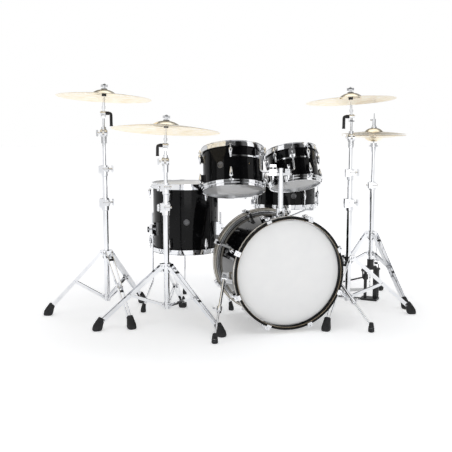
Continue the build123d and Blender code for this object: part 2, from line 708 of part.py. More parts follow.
snare_shell = drum_shell(snare_seat, SNARE_RADIUS, SNARE_DEPTH, SHELL_WALL, 22.5)
hand_over(snare_shell, "snare_shell")
snare_hoops_plain = heads_and_hoops("snare", snare_seat, SNARE_RADIUS, SNARE_DEPTH, SNARE_LUGS)
with BuildPart() as snare_hoops:
    add(snare_hoops_plain.part)
    block(wire_plane, 2.4 * SNARE_RADIUS, WIRE_WIDTH + 6, FILM, 6, mode=Mode.SUBTRACT)
hand_over(snare_hoops, "snare_hoops")

snare_mouth = -(SNARE_DEPTH - SNARE_LUG_LENGTH) / 2
with BuildPart() as snare_lugs:
    with Locations(snare_seat):
        with PolarLocations(0, SNARE_LUGS):
            add(spear_lug(SNARE_RADIUS, snare_circle, SNARE_LUG_LENGTH, SNARE_LUG_BELLY))
    with Locations(snare_top, snare_bottom):
        with PolarLocations(0, SNARE_LUGS):
            add(tension_rod(snare_circle, -RIM_SKIRT, snare_mouth))
hand_over(snare_lugs, "snare_lugs")

# The wires lie under the lower head, with a plate at each end and straps through the hoop.
strap_reach = SNARE_RADIUS + 17
with BuildPart() as snare_wires:
    block(wire_plane, WIRE_LENGTH, WIRE_WIDTH, FILM + 0.2, FILM + 1.8)
    for way in (-1, 1):
        inner = WIRE_LENGTH / 2 - 12
        block(wire_plane, strap_reach - inner, 24, FILM + 1.8, FILM + 2.6,
              at=(way * (strap_reach + inner) / 2, 0))
hand_over(snare_wires, "snare_wires")

throw_face = SNARE_RADIUS
with BuildPart() as throw_off:
    block(throw_plane, 14, THROW_WIDTH, -34, 24, at=(throw_face + 5, 0))
    block(throw_plane, 16, THROW_WIDTH - 8, -58, -30, at=(throw_face + 19, 0))
    for way in (-1, 1):
        block(throw_plane, 18, 5, -8, 16, at=(throw_face + 20, way * 10.8))
    pin_from = throw_plane.origin + throw_plane.x_dir * (throw_face + 22) + throw_plane.z_dir * 4
    rod(pin_from - throw_plane.y_dir * 13.3, pin_from + throw_plane.y_dir * 13.3, 2.5)
    butt = Plane(origin=snare_seat.origin, x_dir=-throw_out, z_dir=snare_axis)
    block(butt, 14, THROW_WIDTH + 8, -36, -6, at=(throw_face + 5, 0))
    block(butt, 12, THROW_WIDTH, -58, -32, at=(throw_face + 18, 0))
    disc(snare_seat, SNARE_RADIUS, -SNARE_DEPTH / 2, SNARE_DEPTH / 2, mode=Mode.SUBTRACT)
hand_over(throw_off, "snare_throw_off")

lever_dir = (throw_plane.x_dir * 0.86 - throw_plane.z_dir * 0.5).normalized()
lever_half = 10.8 - 2.5 - SIDE_GAP
lever_side = Plane(origin=pin_from, x_dir=lever_dir, z_dir=throw_plane.y_dir)
with BuildPart() as lever:
    disc(lever_side, 6.5, -lever_half, lever_half)
    block(lever_side, LEVER_LENGTH, 6, -5, 5, at=(LEVER_LENGTH / 2 + 2, 0))
    block(lever_side, 24, 11, -lever_half, lever_half, at=(LEVER_LENGTH - 6, 0))
    disc(lever_side, 2.5 + RUNNING, -lever_half, lever_half, mode=Mode.SUBTRACT)
hand_over(lever, "snare_lever")


# ---------------------------------------------------------------- tripods

def tripod_leg_points(middle, turn, reach, top, number):
    """A leg's outward direction, its sideways direction and its two end points."""
    out = bearing(turn + 120 * number)
    side = bearing(turn + 120 * number + 90)
    start = middle + out * (COLLAR + 6) + Vector(0, 0, top - 14)
    end = middle + out * (reach - 6) + Vector(0, 0, STAND_FOOT_HEIGHT * 0.5)
    return side, start, end


def tripod(middle, turn, reach, top, low):
    """Three double-braced legs with their struts, hung from an upper and a lower collar."""
    for number in range(3):
        side, start, end = tripod_leg_points(middle, turn, reach, top, number)
        out = bearing(turn + 120 * number)
        hold = start + (end - start) * STRUT_SHARE
        root = middle + out * (LOW_TUBE + 9) + Vector(0, 0, low - 12)
        for way in (-1, 1):
            flat_bar(start + side * (way * LEG_SPREAD), end + side * (way * LEG_CLOSE),
                     side, LEG_WIDTH, LEG_STEEL)
            flat_bar(root + side * (way * STRUT_SPREAD), hold + side * (way * STRUT_SPREAD),
                     side, STRUT_WIDTH, LEG_STEEL)


def collar_ears(middle, turn, level, outer, half, height):
    """The three blocks of a collar that the legs or struts are pinned to."""
    for number in range(3):
        seat = Plane(origin=middle, x_dir=bearing(turn + 120 * number), z_dir=(0, 0, 1))
        block(seat, outer - 6, 2 * half, level - height, level, at=((outer + 6) / 2, 0))


def leg_column(middle, turn, tripod_top, tripod_low, tube_low, tube_top):
    """The lower tube with the two collars that its tripod hangs from."""
    base = Plane(origin=middle)
    disc(base, LOW_TUBE, tube_low, tube_top)
    disc(base, COLLAR, tripod_top - 44, tripod_top)
    collar_ears(middle, turn, tripod_top, COLLAR + 14, LEG_SPREAD - LEG_STEEL / 2 - SIDE_GAP, 26)
    disc(base, LOW_TUBE + 4, tripod_low - 28, tripod_low)
    collar_ears(middle, turn, tripod_low, LOW_TUBE + 14,
                STRUT_SPREAD - LEG_STEEL / 2 - SIDE_GAP, 24)


# ---------------------------------------------------------------- cymbal stands

class Stand:
    """A cymbal stand: where it stands, its levels, and the cymbal it carries."""

    def __init__(self, label, at, turn, reach, levels, inches, lean, bell):
        self.label = label
        self.middle = spot(*at)
        self.turn = turn
        self.reach = reach
        self.tripod_top, self.mid_top, self.top_top, self.joint, self.tilter, self.plane = levels
        self.radius = inches * 12.7
        self.axis = leaning(*lean)
        self.bell_top = bell
        self.pivot = self.middle + Vector(0, 0, self.tilter)
        self.seat = Plane(
            origin=self.pivot + self.axis * (self.plane - self.tilter),
            x_dir=squared(bearing(AUDIENCE), self.axis),
            z_dir=self.axis,
        )


stands = [
    Stand("crash_left", (-821, 556), 46.6, 315, (348, 621, 790, 954, 1055, 1131), 19, (4.0, 2.5), 42),
    Stand("ride", (-546, 302), 66.5, 356, (311, 617, 713, 818, 897, 967), 21, (5.5, 2.5), 48),
    Stand("crash_right", (409, 254), 109.8, 347, (318, 619, 771, 932, 1038, 1116), 18, (4.0, -3.0), 40),
]
tilter_axis = bearing(AUDIENCE + 90)


def cymbal(radius, bow, bell, bell_radius, hole):
    """A cymbal with its rim at height 0: a shallow bow, then the bell with its hole."""
    bell_mid = bell_radius * 0.68
    bow_mid = (radius + bell_radius) / 2
    with BuildPart() as plate:
        with BuildSketch(Plane.XZ) as section:
            with BuildLine() as outline:
                ThreePointArc((radius, 0), (bow_mid, bow * 0.62), (bell_radius, bow))
                ThreePointArc((bell_radius, bow), (bell_mid, bow + bell * 0.66), (hole, bow + bell))
                Line((hole, bow + bell), (hole, bow + bell + CYMBAL_THICK))
                ThreePointArc(
                    (hole, bow + bell + CYMBAL_THICK),
                    (bell_mid, bow + bell * 0.66 + CYMBAL_THICK),
                    (bell_radius, bow + CYMBAL_THICK))
                ThreePointArc(
                    (bell_radius, bow + CYMBAL_THICK),
                    (bow_mid, bow * 0.62 + CYMBAL_THICK),
                    (radius, CYMBAL_THICK))
                Line((radius, CYMBAL_THICK), (radius, 0))
            make_face()
        revolve(axis=Axis.Z)
    return plate.part


def felts(low, high):
    """The two felt washers that hold a cymbal, below and above its bell."""
    ring(Plane.XY, FELT_RADIUS, CYMBAL_HOLE + 0.8, low - FELT_HEIGHT, low)
    ring(Plane.XY, FELT_RADIUS, CYMBAL_HOLE + 0.8, high, high + FELT_HEIGHT)


columns = []
for stand in stands:
    base = Plane(origin=stand.middle)
    wing_way = WING_TURN[stand.label]
    with BuildPart() as column:
        leg_column(stand.middle, stand.turn, stand.tripod_top, TRIPOD_LOW, 78, stand.mid_top)
        disc(base, LOW_TUBE + 5, stand.mid_top - 60, stand.mid_top)
        disc(base, MID_TUBE, stand.mid_top, stand.top_top)
        disc(base, MID_TUBE + 5, stand.top_top - 42, stand.top_top)
        wings = ((stand.mid_top - 24, wing_way), (stand.top_top - 20, wing_way),
                 (stand.tripod_top - 34, stand.turn + 60))
        for level, way in wings:
            with Locations(Plane(origin=stand.middle + Vector(0, 0, level),
                                 x_dir=bearing(way), z_dir=(0, 0, 1))):
                with Locations((MID_TUBE + 3, 0, 0)):
                    add(wing_screw(24, 36))
        disc(base, TOP_TUBE + RUNNING, stand.top_top - TOP_INSERT - 110, stand.top_top,
             mode=Mode.SUBTRACT)
        tripod(stand.middle, stand.turn, stand.reach, stand.tripod_top, TRIPOD_LOW)
    hand_over(column, f"{stand.label}_stand")
    columns.append(column)

    # The upper tube with its ratchet joint, the boom rod and the fork of the tilter.
    hinge = Plane(origin=stand.pivot, x_dir=Vector(0, 0, 1).cross(tilter_axis), z_dir=tilter_axis)
    ratchet = Plane(origin=stand.middle + Vector(0, 0, stand.joint),
                    x_dir=hinge.x_dir, z_dir=tilter_axis)
    fork_low = stand.tilter - TILTER_DISC - 14
    with BuildPart() as upper:
        disc(base, TOP_TUBE, stand.top_top - TOP_INSERT, stand.joint - 18)
        disc(base, TOP_TUBE + 5, stand.joint - 52, stand.joint - 16)
        disc(ratchet, 21, -15, 15)
        disc(base, TOP_TUBE + 3, stand.joint, stand.joint + 32)
        disc(base, BOOM_ROD, stand.joint, fork_low)
        block(base, 2 * (TILTER_HALF + SIDE_GAP + TILTER_EAR), 18, fork_low, fork_low + 12)
        for low in (TILTER_HALF + SIDE_GAP, -TILTER_HALF - SIDE_GAP - TILTER_EAR):
            disc(hinge, TILTER_DISC, low, low + TILTER_EAR)
            block(hinge, 18, TILTER_DISC + 8, low, low + TILTER_EAR,
                  at=(0, -(TILTER_DISC + 8) / 2))
        disc(hinge, PIN_RADIUS, -TILTER_HALF - 5, TILTER_HALF + 5)
        with Locations(Plane(origin=ratchet.origin - tilter_axis * 14, x_dir=-tilter_axis,
                             z_dir=(0, 0, 1))):
            add(wing_screw(16, 34))
    hand_over(upper, f"{stand.label}_upper")

    # The tilter's tongue, the cymbal post with its sleeve and seat, and the wing nut.
    seat = stand.seat
    bell = stand.bell_top - CYMBAL_THICK
    lower_felt = bell - FELT_HEIGHT
    upper_felt = stand.bell_top + FELT_HEIGHT
    drop = stand.tilter - stand.plane
    with BuildPart() as tilter:
        disc(hinge, TILTER_DISC - 1.5, -TILTER_HALF, TILTER_HALF)
        disc(seat, POST_STEEL, drop, upper_felt + 26)
        disc(seat, TILTER_HALF - 1.5, drop, drop + 34)
        disc(seat, 9, drop + 22, drop + 36)
        disc(seat, SLEEVE, drop + 30, upper_felt + FELT_GIVE + 2)
        disc(seat, 12.5, lower_felt - FELT_GIVE - 3, lower_felt - FELT_GIVE)
        disc(seat, 8.5, upper_felt + FELT_GIVE, upper_felt + FELT_GIVE + 3)
        disc(seat, 6.5, upper_felt + FELT_GIVE, upper_felt + FELT_GIVE + 14)
        block(seat, 4, 36, upper_felt + FELT_GIVE + 5, upper_felt + FELT_GIVE + 18)
        disc(hinge, PIN_RADIUS + RUNNING, -TILTER_HALF, TILTER_HALF, mode=Mode.SUBTRACT)
    hand_over(tilter, f"{stand.label}_tilter")

    bell_radius = stand.radius * BELL_SHARE
    bow = stand.bell_top - CYMBAL_THICK - BELL_RISE
    with BuildPart() as plate_and_felts:
        add(cymbal(stand.radius, bow, BELL_RISE, bell_radius, CYMBAL_HOLE))
        felts(bell, stand.bell_top)
    with BuildPart() as placed:
        with Locations(seat):
            add(plate_and_felts.part)
    hand_over(placed, f"{stand.label}_cymbal")


# ---------------------------------------------------------------- snare stand

snare_floor = spot(264, 877)
hub = Plane(origin=snare_seat.origin - snare_axis * (SNARE_DEPTH / 2 + RIM_RISE + BASKET_DROP),
            x_dir=snare_seat.x_dir, z_dir=snare_axis)
hinge_z = hub.origin.Z - 22
snare_hinge = Plane(origin=Vector(hub.origin.X, hub.origin.Y, hinge_z),
                    x_dir=Vector(0, 0, 1).cross(tilter_axis), z_dir=tilter_axis)
snare_column = Vector(hub.origin.X, hub.origin.Y, 0)

with BuildPart() as snare_legs:
    leg_column(snare_column, SNARE_TURN, SNARE_TRIPOD_TOP, SNARE_TRIPOD_LOW, 66,
               SNARE_STAND_COLLAR)
    disc(Plane(origin=snare_column), LOW_TUBE + 5, SNARE_STAND_COLLAR - 44, SNARE_STAND_COLLAR)
    with Locations(Plane(origin=snare_column + Vector(0, 0, SNARE_STAND_COLLAR - 20),
                         x_dir=bearing(-30), z_dir=(0, 0, 1))):
        with Locations((LOW_TUBE + 2, 0, 0)):
            add(wing_screw(22, 34))
    disc(Plane(origin=snare_column), TOP_TUBE + RUNNING, 150, SNARE_STAND_COLLAR,
         mode=Mode.SUBTRACT)
    tripod(snare_column, SNARE_TURN, SNARE_REACH, SNARE_TRIPOD_TOP, SNARE_TRIPOD_LOW)
hand_over(snare_legs, "snare_stand")

with BuildPart() as snare_tube:
    column_seat = Plane(origin=snare_column)
    neck = hinge_z - TILTER_DISC - 6
    disc(column_seat, TOP_TUBE, SNARE_STAND_COLLAR - 130, neck)
    block(column_seat, 2 * (TILTER_HALF + SIDE_GAP + TILTER_EAR), 18, neck - 6, neck + 4)
    for low in (TILTER_HALF + SIDE_GAP, -TILTER_HALF - SIDE_GAP - TILTER_EAR):
        disc(snare_hinge, TILTER_DISC, low, low + TILTER_EAR)
        block(snare_hinge, 18, TILTER_DISC + 8, low, low + TILTER_EAR,
              at=(0, -(TILTER_DISC + 8) / 2))
    disc(snare_hinge, PIN_RADIUS, -TILTER_HALF - 5, TILTER_HALF + 5)
hand_over(snare_tube, "snare_stand_tube")

arm_circle = SNARE_RADIUS + FLESH_RADIAL + RIM_STEEL + RIM_FLANGE + BASKET_ARM + 1.2
with BuildPart() as basket:
    disc(snare_hinge, TILTER_DISC - 1.5, -TILTER_HALF, TILTER_HALF)
    rod(snare_hinge.origin, hub.origin, TILTER_HALF - 1)
    disc(hub, 26, -8, 8)
    for number in range(ARM_COUNT):
        way = 22.5 + 360 / ARM_COUNT * number
        out = hub.x_dir * cos(radians(way)) + hub.y_dir * sin(radians(way))
        under = hub.origin + hub.z_dir * (BASKET_DROP - BASKET_ARM - 0.3)
        bent_rod((hub.origin + out * 20, under + out * (SNARE_RADIUS - 30),
                  under + out * arm_circle, under + out * arm_circle + hub.z_dir * 34),
                 12, BASKET_ARM)
    disc(snare_hinge, PIN_RADIUS + RUNNING, -TILTER_HALF, TILTER_HALF, mode=Mode.SUBTRACT)
hand_over(basket, "snare_basket")


# ---------------------------------------------------------------- pedals

def side_of(frame):
    """A pedal's side plane: +X from the toe to the heel and +Y up."""
    return Plane(origin=frame.origin, x_dir=frame.y_dir, z_dir=frame.x_dir)


def heel_point(frame, length):
    """The pin that a pedal's board turns on."""
    return frame.origin + frame.y_dir * length + frame.z_dir * HEEL_HEIGHT


def pedal_board(frame, length, width, rise):
    """A pedal's foot board with the knuckle that its heel pin goes through."""
    slope = atan2(rise - HEEL_HEIGHT, length)
    square = (sin(slope), cos(slope))
    with BuildPart() as board:
        with BuildSketch(side_of(frame)) as section:
            with BuildLine() as outline:
                Polyline(
                    (0, rise),
                    (length, HEEL_HEIGHT),
                    (length + BOARD_THICK * square[0], HEEL_HEIGHT + BOARD_THICK * square[1]),
                    (BOARD_THICK * square[0], rise + BOARD_THICK * square[1]),
                    close=True,
                )
            make_face()
        extrude(amount=width / 2, both=True)
        pin = heel_point(frame, length)
        knuckle = Plane(origin=pin, x_dir=frame.y_dir, z_dir=frame.x_dir)
        disc(knuckle, HEEL_KNUCKLE, -width / 2 + 12, width / 2 - 12)
        disc(knuckle, HEEL_PIN + RUNNING, -width / 2, width / 2, mode=Mode.SUBTRACT)
        for way in (-1, 1):
            block(Plane(origin=pin, x_dir=frame.x_dir, z_dir=frame.z_dir), 13, 40, -12, 14,
                  at=(way * (width / 2 - 6), 0), mode=Mode.SUBTRACT)
    return board


def heel_stand(frame, length, width):
    """The two ears and the pin that hold a pedal board's heel, on the base plate."""
    pin = heel_point(frame, length)
    knuckle = Plane(origin=pin, x_dir=frame.y_dir, z_dir=frame.x_dir)
    inner = width / 2 - 12 + SIDE_GAP
    for low in (inner, -inner - 6):
        disc(knuckle, HEEL_KNUCKLE, low, low + 6)
        block(knuckle, 2 * HEEL_KNUCKLE, HEEL_HEIGHT - 3, low, low + 6,
              at=(0, -(HEEL_HEIGHT - 3) / 2))
    disc(knuckle, HEEL_PIN, -inner - 6, inner + 6)


# The kick pedal stands behind the bass drum and grips its rear hoop.
kick_frame = Plane(origin=spot(*KICK_TOE), x_dir=(1, 0, 0), z_dir=(0, 0, 1))
kick_near = bass_middle * 2 - 30
kick_far = KICK_TOE[1] + KICK_LENGTH + 24
axle = Plane(origin=spot(0, KICK_AXLE_Y, KICK_AXLE_Z), x_dir=(0, 1, 0), z_dir=(1, 0, 0))
plate_middle = (kick_near + kick_far) / 2 - KICK_TOE[1]
hoop_inside = BASS_LIFT_REAR + BASS_HOOP_WALL
with BuildPart() as kick_base:
    block(kick_frame, 84, kick_far - kick_near, 0, 5, at=(0, plate_middle))
    for way in (-1, 1):
        block(kick_frame, 9, 26, 5, KICK_AXLE_Z, at=(way * KICK_HALF, KICK_AXLE_Y - KICK_TOE[1]))
        disc(axle, 13, way * KICK_HALF - 4.5, way * KICK_HALF + 4.5)
    block(kick_frame, 2 * KICK_HALF, 26, 5, 40, at=(0, KICK_AXLE_Y - KICK_TOE[1]))
    jaw_near = bass_middle * 2 - 22
    block(kick_frame, 36, KICK_AXLE_Y - jaw_near, hoop_inside + 3, hoop_inside + 11,
          at=(0, (KICK_AXLE_Y + jaw_near) / 2 - KICK_TOE[1]))
    disc(axle, KICK_AXLE + RUNNING, -KICK_HALF - 6, KICK_HALF + 6, mode=Mode.SUBTRACT)
    heel_stand(kick_frame, KICK_LENGTH, KICK_WIDTH)
hand_over(kick_base, "kick_pedal_base")

kick_board = pedal_board(kick_frame, KICK_LENGTH, KICK_WIDTH, KICK_RISE)
hand_over(kick_board, "kick_footboard")

lean_back = Vector(0, sin(radians(BEATER_REST)), cos(radians(BEATER_REST)))
strike = Vector(0, -cos(radians(BEATER_REST)), sin(radians(BEATER_REST)))
beater_head = axle.origin + lean_back * BEATER_REACH
with BuildPart() as beater:
    disc(axle, KICK_AXLE, -KICK_HALF - 8, KICK_HALF + 8)
    disc(axle, 13, -11, 11)
    disc(axle, 24, 13, 19)
    rod(axle.origin - lean_back * 20, beater_head, 4.5)
    rod(beater_head - strike * 30, beater_head + strike * 30, 24)
hand_over(beater, "kick_beater")


# ---------------------------------------------------------------- hi-hat

hat_middle = spot(*HAT_SPOT)
hat_base = Plane(origin=hat_middle)
heel_way = bearing(HAT_HEADING)
hat_frame = Plane(origin=hat_middle + heel_way * HAT_TOE, x_dir=bearing(HAT_HEADING - 90),
                  z_dir=(0, 0, 1))

with BuildPart() as hat_legs:
    leg_column(hat_middle, HAT_TURN, HAT_TRIPOD_TOP, HAT_TRIPOD_LOW, HAT_FRAME_TOP, HAT_COLLAR)
    disc(hat_base, LOW_TUBE + 5, HAT_COLLAR - 44, HAT_COLLAR)
    for level, way in ((HAT_COLLAR - 20, 165), (HAT_TRIPOD_TOP - 34, HAT_TURN + 60)):
        with Locations(Plane(origin=hat_middle + Vector(0, 0, level), x_dir=bearing(way),
                             z_dir=(0, 0, 1))):
            with Locations((LOW_TUBE + 2, 0, 0)):
                add(wing_screw(22, 34))
    disc(hat_base, TOP_TUBE + RUNNING, HAT_FRAME_TOP, HAT_COLLAR, mode=Mode.SUBTRACT)
    tripod(hat_middle, HAT_TURN, HAT_REACH, HAT_TRIPOD_TOP, HAT_TRIPOD_LOW)
hand_over(hat_legs, "hihat_legs")

# The pedal frame: a base casting, two uprights, the spring housing and a short steady arm.
hat_plate = Plane(origin=hat_middle, x_dir=heel_way, z_dir=(0, 0, 1))
hat_side = bearing(AUDIENCE + 90)
with BuildPart() as hat_pedal_base:
    block(hat_plate, 96, 70, 0, 12)
    block(hat_plate, HAT_TOE + HAT_BOARD + 10, 22, 0, 5, at=((HAT_TOE + HAT_BOARD + 10) / 2, 0))
    block(hat_plate, 30, HAT_BOARD_WIDTH - 6, 0, 5, at=(HAT_TOE + HAT_BOARD, 0))
    for way in (-1, 1):
        post = hat_middle + hat_side * (way * (HAT_UPRIGHT + 9))
        disc(Plane(origin=post), 9, 12, 190)
    housing = hat_middle + hat_side * (HAT_UPRIGHT + 22)
    disc(Plane(origin=housing), 13, 12, 176)
    disc(Plane(origin=housing), 19, 176, 184)
    disc(Plane(origin=housing + hat_side * 8), 2, 184, 206)
    bridge = Plane(origin=hat_middle, x_dir=hat_side, z_dir=(0, 0, 1))
    block(bridge, 2 * HAT_UPRIGHT + 36, 26, 176, 196)
    disc(hat_base, 19, 190, HAT_FRAME_TOP)
    disc(hat_base, 7, 170, HAT_FRAME_TOP, mode=Mode.SUBTRACT)
    knob_root = hat_middle - hat_side * (HAT_UPRIGHT + 9) + Vector(0, 0, 133)
    steady_end = knob_root - hat_side * 150 + Vector(0, 0, -34)
    disc(Plane(origin=knob_root - Vector(0, 0, 14)), 15, 0, 28)
    rod(knob_root, steady_end, 4.5)
    rod(knob_root - hat_side * 16, knob_root - hat_side * 16 + Vector(0, 0, 32), 4)
    disc(Plane(origin=knob_root - hat_side * 16 + Vector(0, 0, 32)), 9, 0, 14)
    heel_stand(hat_frame, HAT_BOARD, HAT_BOARD_WIDTH)
hand_over(hat_pedal_base, "hihat_pedal_base")

hat_board = pedal_board(hat_frame, HAT_BOARD, HAT_BOARD_WIDTH, HAT_BOARD_RISE)
hand_over(hat_board, "hihat_footboard")

hat_cup = HAT_RIM - HAT_BOW - HAT_BELL - 2 * FELT_HEIGHT - 10
with BuildPart() as hat_tube:
    disc(hat_base, TOP_TUBE, HAT_COLLAR - TOP_INSERT - 40, hat_cup)
    disc(hat_base, 25, hat_cup - 6, hat_cup + 2)
    disc(hat_base, 14, hat_cup - 34, hat_cup - 6)
    disc(hat_base, 18, hat_cup + 2, hat_cup + 2 + FELT_HEIGHT + 4)
    disc(hat_base, HAT_ROD + 2, 0, 1000, mode=Mode.SUBTRACT)
hand_over(hat_tube, "hihat_tube")

hat_plate_part = cymbal(HAT_RADIUS, HAT_BOW, HAT_BELL, HAT_BELL_RADIUS, CYMBAL_HOLE)
lower_hat = Plane(origin=hat_middle + Vector(0, 0, HAT_RIM), x_dir=(1, 0, 0), z_dir=(0, 0, -1))
upper_hat = Plane(origin=hat_middle + Vector(0, 0, HAT_RIM + HAT_OPEN))
with BuildPart() as hat_bottom:
    with Locations(lower_hat):
        add(hat_plate_part)
hand_over(hat_bottom, "hihat_bottom_cymbal")

with BuildPart() as hat_top:
    with Locations(upper_hat):
        add(hat_plate_part)
hand_over(hat_top, "hihat_top_cymbal")

hat_bell_top = HAT_RIM + HAT_OPEN + HAT_BOW + HAT_BELL + CYMBAL_THICK
with BuildPart() as hat_rod:
    disc(hat_base, HAT_ROD, HAT_ROD_LOW, HAT_ROD_TOP)
    disc(hat_base, CYMBAL_HOLE - 0.4, hat_bell_top - 14, hat_bell_top + 40)
    disc(hat_base, 12, hat_bell_top - 12, hat_bell_top - 6)
    disc(hat_base, FELT_RADIUS, hat_bell_top + 0.3, hat_bell_top + 8)
    disc(hat_base, 11, hat_bell_top + 9, hat_bell_top + 16)
    disc(hat_base, 9, hat_bell_top + 16, hat_bell_top + 50)
    with Locations(Plane(origin=hat_middle + Vector(0, 0, hat_bell_top + 44),
                         x_dir=bearing(AUDIENCE - 90), z_dir=(0, 0, 1))):
        with Locations((6, 0, 0)):
            add(wing_screw(16, 30))
hand_over(hat_rod, "hihat_rod")


# ---------------------------------------------------------------- rubber feet

def tapered_foot(radius, height):
    """A moulded rubber foot with a rounded sole, upright on the floor."""
    top = radius * FOOT_TOP_SHARE
    with BuildPart() as foot:
        with BuildSketch(Plane.XZ) as section:
            with BuildLine() as outline:
                Polyline((0, 0), (radius - 4, 0), (radius, 4), (radius, height * 0.3),
                         (top, height), (0, height), close=True)
            make_face()
        revolve(axis=Axis.Z)
    return foot.part


with BuildPart() as feet:
    for stand in stands:
        with Locations(Plane(origin=stand.middle)):
            with PolarLocations(stand.reach, 3, start_angle=stand.turn):
                add(tapered_foot(STAND_FOOT_RADIUS, STAND_FOOT_HEIGHT))
    with Locations(Plane(origin=snare_column)):
        with PolarLocations(SNARE_REACH, 3, start_angle=SNARE_TURN):
            add(tapered_foot(STAND_FOOT_RADIUS - 6, STAND_FOOT_HEIGHT - 10))
    with Locations(Plane(origin=hat_middle)):
        with PolarLocations(HAT_REACH, 3, start_angle=HAT_TURN):
            add(tapered_foot(STAND_FOOT_RADIUS, STAND_FOOT_HEIGHT))
    for angle in FLOOR_LEG_BEARINGS:
        with Locations(Plane(origin=floor_middle + bearing(angle) * FLOOR_FOOT_CIRCLE)):
            add(tapered_foot(15, 46))
    for legs in (*columns, snare_legs, hat_legs, floor_legs):
        add(legs.part, mode=Mode.SUBTRACT)
hand_over(feet, "rubber_feet")
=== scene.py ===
import json
from math import cos, pi, radians, sin

import bmesh
import bpy
from mathutils import Matrix, Vector


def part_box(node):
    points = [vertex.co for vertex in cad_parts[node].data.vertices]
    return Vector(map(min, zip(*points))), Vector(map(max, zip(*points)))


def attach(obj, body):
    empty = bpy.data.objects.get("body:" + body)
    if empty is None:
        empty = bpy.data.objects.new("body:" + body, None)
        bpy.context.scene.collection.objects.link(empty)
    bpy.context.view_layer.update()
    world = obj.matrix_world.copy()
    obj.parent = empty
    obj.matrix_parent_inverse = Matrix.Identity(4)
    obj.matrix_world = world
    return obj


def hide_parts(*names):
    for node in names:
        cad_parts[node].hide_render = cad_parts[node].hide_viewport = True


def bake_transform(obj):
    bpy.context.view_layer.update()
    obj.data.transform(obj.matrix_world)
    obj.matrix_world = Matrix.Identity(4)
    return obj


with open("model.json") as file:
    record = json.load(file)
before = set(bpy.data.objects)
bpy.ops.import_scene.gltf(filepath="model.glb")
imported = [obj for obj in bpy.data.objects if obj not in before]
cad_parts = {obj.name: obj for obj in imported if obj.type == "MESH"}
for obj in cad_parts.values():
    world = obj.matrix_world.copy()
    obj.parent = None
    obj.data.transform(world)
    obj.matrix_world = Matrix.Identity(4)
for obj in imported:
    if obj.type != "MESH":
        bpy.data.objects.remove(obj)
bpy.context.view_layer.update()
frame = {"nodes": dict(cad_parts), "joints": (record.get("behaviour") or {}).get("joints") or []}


# ---------------------------------------------------------------- studio A plain pale floor in
# a white room, with one soft sheet of light overhead, a soft box at each side and one in
# front.

camera_place = Vector((-1.0046, -3.8338, 1.004))
view_level = Vector((0.2419, 0.9703, 0.0))
view_right = Vector((0.9703, -0.2419, 0.0))
view_down = radians(7.8)
camera = bpy.data.objects.new("camera", bpy.data.cameras.new("camera"))
camera.data.lens = 59.7
camera.location = camera_place
view_line = view_level * cos(view_down) - Vector((0, 0, sin(view_down)))
camera.rotation_euler = view_line.to_track_quat("-Z", "Y").to_euler()
bpy.context.scene.collection.objects.link(camera)
bpy.context.scene.camera = camera
bpy.context.scene.view_settings.view_transform = "Standard"


def node(tree, kind, **settings):
    """Add a shader node and set its options."""
    made = tree.nodes.new(kind)
    for option, value in settings.items():
        setattr(made, option, value)
    return made


def ramp(tree, value, stops):
    """Turn a value into colours by stops of (place, colour)."""
    made = node(tree, "ShaderNodeValToRGB")
    points = made.color_ramp.elements
    while len(points) < len(stops):
        points.new(0.5)
    for point, (place, colour) in zip(points, stops):
        point.position = place
        grey = (colour, colour, colour)
        point.color = (*(grey if isinstance(colour, float) else colour), 1)
    tree.links.new(value, made.inputs["Fac"])
    return made.outputs["Color"]


def math_node(tree, operation, first, second):
    """Combine two values; a plain number may stand for either."""
    made = node(tree, "ShaderNodeMath", operation=operation)
    for socket, value in zip(made.inputs, (first, second)):
        if isinstance(value, (int, float)):
            socket.default_value = value
        else:
            tree.links.new(value, socket)
    return made.outputs[0]


room = bpy.data.worlds.new("white_room")
bpy.context.scene.world = room
room.use_nodes = True
walls = room.node_tree
walls.nodes.clear()
direction = node(walls, "ShaderNodeTexCoord").outputs["Generated"]
to_front = node(walls, "ShaderNodeVectorMath", operation="DOT_PRODUCT")
to_front.inputs[1].default_value = -view_level
to_right = node(walls, "ShaderNodeVectorMath", operation="DOT_PRODUCT")
to_right.inputs[1].default_value = view_right
up = node(walls, "ShaderNodeSeparateXYZ")
for taker in (to_front.inputs[0], to_right.inputs[0], up.inputs[0]):
    walls.links.new(direction, taker)
turn = math_node(walls, "ARCTAN2", to_right.outputs["Value"], to_front.outputs["Value"])
around = math_node(walls, "MULTIPLY_ADD", turn, 1 / (2 * pi))
around.node.inputs[2].default_value = 0.5
sides = ramp(walls, around, [
    (0.0, 0.9), (0.19, 0.9), (0.22, 0.10), (0.245, 0.10), (0.275, 0.6), (0.36, 0.75), (0.44, 0.82),
    (0.51, 0.75), (0.54, 0.06), (0.59, 0.05), (0.62, 0.7), (0.69, 0.8), (0.725, 0.03),
    (0.79, 0.03), (0.82, 0.9), (1.0, 0.9)])
climb = math_node(walls, "MULTIPLY_ADD", up.outputs["Z"], 0.5)
climb.node.inputs[2].default_value = 0.5
levels = ramp(walls, climb, [
    (0.0, 0.9), (0.53, 0.9), (0.62, 1.0), (0.67, 0.22), (0.85, 0.15), (0.90, 1.0),
    (1.0, 1.2)])
mixed = node(walls, "ShaderNodeMix", data_type="RGBA", blend_type="MULTIPLY")
mixed.inputs["Factor"].default_value = 1.0
walls.links.new(sides, mixed.inputs["A"])
walls.links.new(levels, mixed.inputs["B"])
seen = node(walls, "ShaderNodeBackground")
seen.inputs["Color"].default_value = (1, 1, 1, 1)
cast_on_kit = node(walls, "ShaderNodeBackground")
cast_on_kit.inputs["Strength"].default_value = 1.0
walls.links.new(mixed.outputs["Result"], cast_on_kit.inputs["Color"])
chosen = node(walls, "ShaderNodeMixShader")
walls.links.new(node(walls, "ShaderNodeLightPath").outputs["Is Camera Ray"], chosen.inputs[0])
